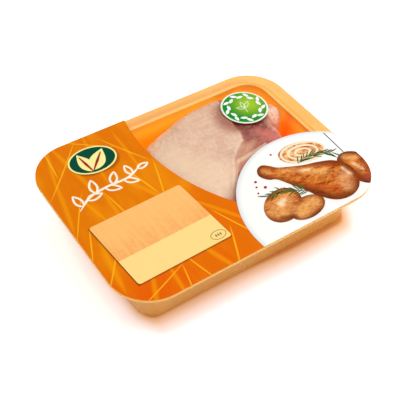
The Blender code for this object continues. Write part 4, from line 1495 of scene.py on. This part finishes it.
class PACK_OT_plate(bpy.types.Operator):
    """Build the round plate print with simple printed food"""

    bl_idname = "pack.plate"
    bl_label = "Plate Print"

    def execute(self, context):
        white = plate_material(context.scene.pack_colours)
        plate = slab("plate_disc", plate_outline(), PRINT_BOX[0][2], PRINT_TOP, white)
        settle(plate, "white_print", "plate_print")
        bottom = PRINT_TOP + INK_GAP
        for piece in build_plate_food(plain_print("pale cream ink", (0.86, 0.74, 0.50)), bottom):
            settle(piece, "white_print")
        herb = plain_print("herb ink", (0.075, 0.125, 0.025))
        low = bottom + 4 * (INK + INK_GAP)
        stems, paths = FlatShapes(), [spline(points, 10) for points in GREEN_SPRIGS]
        for path in paths:
            stems.ribbon(path, 0.6, low, low + INK)
        settle(stems.finish("herb_stems", herb), "white_print")
        needles = grow_leaves("herb_needles", paths, low + INK / 2, herb, leaf_count=26, leaf_length=0.0085,
                              leaf_width=0.0011, leaf_thickness=INK * MM, splay=0.5, both_sides=1.0,
                              turn_variation=0.35, size_variation=0.3, seed=4)
        settle(needles, "white_print")
        line = FlatShapes()
        line.ribbon(GREY_LINE, 1.1, bottom, bottom + INK, 1.0)
        settle(line.finish("grey_line", plain_print("grey ink", (0.11, 0.13, 0.14))), "white_print")
        return {"FINISHED"}


# ---- Round sticker -------------------------------------------------------------------------------
STICKER_CENTRE = centre_of(STICKER_BOX)
STICKER_RADIUS = (STICKER_BOX[1][0] - STICKER_BOX[0][0]) / 2
STICKER_RIM = 1.8


def sticker_material(colours):
    """Green field, yellow-green in the middle."""
    material, g, shader, position = new_material("sticker green")
    offset = offset_from(g, g.axes(position), STICKER_CENTRE[0] + 6.0, STICKER_CENTRE[1] + 2.0)
    share = g.step(g.length(*offset), 0.0, (STICKER_RADIUS + 1.0) * MM)
    print_finish(g, shader, position, g.blend(share, colours.sticker_middle, colours.sticker_edge))
    return material


class PACK_OT_sticker(bpy.types.Operator):
    """Build the round green sticker with its ring of leaves"""

    bl_idname = "pack.sticker"
    bl_label = "Round Sticker"

    def execute(self, context):
        colours, sizes = context.scene.pack_colours, context.scene.pack_sizes
        x, y = STICKER_CENTRE
        radii = (STICKER_RADIUS, STICKER_RADIUS - STICKER_RIM)
        disc, inner = (ellipse((x, y), 2 * radius, 2 * radius, 96) for radius in radii)
        pale = plain_print("sticker rim", (0.76, 0.84, 0.66))
        disc = slab("sticker_disc", disc, STICKER_BOX[0][2], STICKER_BOX[1][2], pale)
        settle(disc, "sticker_print", "round_sticker")
        low = STICKER_BOX[1][2] + INK_GAP
        settle(slab("sticker_field", inner, low, low + INK, sticker_material(colours)), "sticker_print")
        white = plain_print("sticker white", colours.white)
        top = low + INK + INK_GAP
        ring = arc((x, y), STICKER_RADIUS - 6.6, radians(20), radians(360), 72)
        leaves = grow_leaves("sticker_wreath", [ring], top + INK / 2, white, leaf_count=sizes.wreath_leaves,
                             leaf_length=0.0073, leaf_width=0.0034, leaf_thickness=INK * MM, splay=0.42,
                             both_sides=1.0, turn_variation=0.0, size_variation=0.0, seed=1)
        settle(leaves, "sticker_print")
        sprout = FlatShapes()
        lines = [spline(((x - 1.5, y - 7.5), (x - 0.5, y - 2.0), (x + 1.0, y + 2.0)), 10)]
        for tip in ((x - 7.5, y + 3.0), (x + 8.0, y + 5.5), (x + 0.8, y + 8.5)):
            lines += leaf_loop((x - 0.2, y - 1.0), tip, 3.4)
        for k, line in enumerate(lines):
            sprout.ribbon(line, 0.65, top + 0.006 * k, top + INK + 0.006 * k, 0.6)
        settle(sprout.finish("sticker_sprout", pale), "sticker_print")
        return {"FINISHED"}


# ---- Stage ---------------------------------------------------------------------------------------
FLOOR_HALF = 3.0
FOOT_HALF_LENGTH, FOOT_HALF_WIDTH, FOOT_CORNER = 0.109, 0.0745, 0.015
TARGET = Vector((-0.02255, -0.02556, 0.0530))
GLOW_REACH = 0.032
# How much the glow draws in beside the left end and towards the back, and spreads at the right.
GLOW_LEFT_LOSS, GLOW_BACK_LOSS, GLOW_RIGHT_GAIN = 0.012, 0.010, 0.0035
# Painted orange glow and shade from the tray on the table: at the foot, close to it and half way out.
GLOW_PLACES = (0.105, 0.37, 0.66)
GLOW_COLOURS = ((0.50, 0.180, 0.045), (0.68, 0.40, 0.205), (0.82, 0.635, 0.56), (0.915, 0.835, 0.845))
KEY_SIZE, KEY_PLACE, KEY_AIM = 1.2, Vector((1.0, -0.2, 1.3)), Vector((0.0, 0.0, 0.03))
SENSOR_WIDTH, CLIP_END = 36.0, 20.0


def floor_material(table):
    """White luminous table with a painted orange glow and shade close to the tray's foot."""
    material, g, shader, position = new_material("pale floor")
    axes = g.axes(position)
    outside = [
        g.most(g.sub(g.math("ABSOLUTE", axes[axis]), half - FOOT_CORNER), 0.0)
        for axis, half in (("X", FOOT_HALF_LENGTH), ("Y", FOOT_HALF_WIDTH))
    ]
    distance = g.sub(g.length(*outside), FOOT_CORNER)
    left = g.step(axes["X"], -0.098, -0.120)
    right = g.sub(g.step(axes["X"], -0.02, 0.05), g.mul(g.step(axes["X"], 0.100, 0.118), 1.6))
    back = g.step(axes["Y"], -0.01, 0.07)
    distance = g.add(distance, g.mul(left, GLOW_LEFT_LOSS))
    distance = g.add(distance, g.mul(back, GLOW_BACK_LOSS))
    distance = g.sub(distance, g.mul(right, GLOW_RIGHT_GAIN))
    ramp = g.node("ShaderNodeValToRGB", {0: g.math("DIVIDE", distance, GLOW_REACH, clamp=True)})
    stops = ramp.color_ramp.elements
    stops[0].color, stops[1].color = (*GLOW_COLOURS[0], 1.0), (1.0, 1.0, 1.0, 1.0)
    for place, colour in zip(GLOW_PLACES, GLOW_COLOURS[1:]):
        stops.new(place).color = (*colour, 1.0)
    g.wire(shader, {
        "Base Color": g.blend(1.0, (0.92, 0.92, 0.92), ramp.outputs[0], mode="MULTIPLY"),
        "Emission Color": ramp.outputs[0], "Emission Strength": table,
        "Roughness": 0.9, "Specular IOR Level": 0.0,
    })
    return material


def add_key_light(power):
    """The square soft light, turned towards the pack."""
    light = bpy.data.lights.new("Key", "AREA")
    light.energy, light.size = power, KEY_SIZE
    lamp = bpy.data.objects.new("Key", light)
    lamp.location = KEY_PLACE
    lamp.rotation_euler = (KEY_AIM - KEY_PLACE).to_track_quat("-Z", "Y").to_euler()
    bpy.context.scene.collection.objects.link(lamp)


def add_camera(stage):
    """Camera at the photograph's angle."""
    a, e = stage.azimuth, stage.elevation
    forward = Vector((sin(a) * cos(e), cos(a) * cos(e), -sin(e)))
    level = Vector((cos(a), -sin(a), 0.0))
    right = level * cos(stage.roll) + level.cross(forward) * sin(stage.roll)
    turn = Matrix((right, right.cross(forward), -forward)).transposed().to_4x4()
    data = bpy.data.cameras.new("Camera")
    data.lens, data.sensor_width, data.clip_end = stage.lens, SENSOR_WIDTH, CLIP_END
    camera = bpy.data.objects.new("Camera", data)
    camera.matrix_world = Matrix.Translation(TARGET - forward * stage.distance) @ turn
    bpy.context.scene.collection.objects.link(camera)
    bpy.context.scene.camera = camera


class PACK_OT_stage(bpy.types.Operator):
    """Build the pale floor, the soft lights and the camera"""

    bl_idname = "pack.stage"
    bl_label = "Stage"

    def execute(self, context):
        stage = context.scene.pack_stage
        mesh = bpy.data.meshes.new("floor")
        corners = [(FLOOR_HALF * x, FLOOR_HALF * y, 0.0) for x, y in ((-1, -1), (1, -1), (1, 1), (-1, 1))]
        mesh.from_pydata(corners, [], [(0, 1, 2, 3)])
        link_mesh("floor", mesh, floor_material(stage.table), smooth=False)
        world = bpy.data.worlds.new("Studio")
        world.use_nodes = True
        background = world.node_tree.nodes["Background"]
        background.inputs["Color"].default_value = (1.0, 1.0, 1.0, 1.0)
        background.inputs["Strength"].default_value = stage.world
        context.scene.world = world
        add_key_light(stage.key)
        add_camera(stage)
        context.scene.view_settings.view_transform = "Standard"
        return {"FINISHED"}


# ---- Add-on --------------------------------------------------------------------------------------
class PACK_PT_panel(bpy.types.Panel):
    """Buttons and settings of the drumstick pack"""

    bl_label = "Drumstick Pack"
    bl_idname = "PACK_PT_panel"
    bl_space_type = "VIEW_3D"
    bl_region_type = "UI"
    bl_category = "Drumstick Pack"

    def draw(self, context):
        layout = self.layout
        for operator in PIECES:
            layout.operator(operator.bl_idname)
        for group in (context.scene.pack_sizes, context.scene.pack_colours, context.scene.pack_stage):
            box = layout.box()
            for name in group.__annotations__:
                box.prop(group, name)


PIECES = (PACK_OT_tray, PACK_OT_drumstick, PACK_OT_lid_film, PACK_OT_label, PACK_OT_panel, PACK_OT_badge,
          PACK_OT_plate, PACK_OT_sticker, PACK_OT_stage)
GROUPS = {"pack_sizes": PackSizes, "pack_colours": PackColours, "pack_stage": StageSettings}


def register():
    for item in (*GROUPS.values(), *PIECES, PACK_PT_panel):
        bpy.utils.register_class(item)
    for name, group in GROUPS.items():
        setattr(bpy.types.Scene, name, PointerProperty(type=group))


def unregister():
    for name in GROUPS:
        delattr(bpy.types.Scene, name)
    for item in reversed((*GROUPS.values(), *PIECES, PACK_PT_panel)):
        bpy.utils.unregister_class(item)


def main():
    register()
    for operator in PIECES:
        family, name = operator.bl_idname.split(".")
        getattr(getattr(bpy.ops, family), name)()


if __name__ == "__main__":
    main()
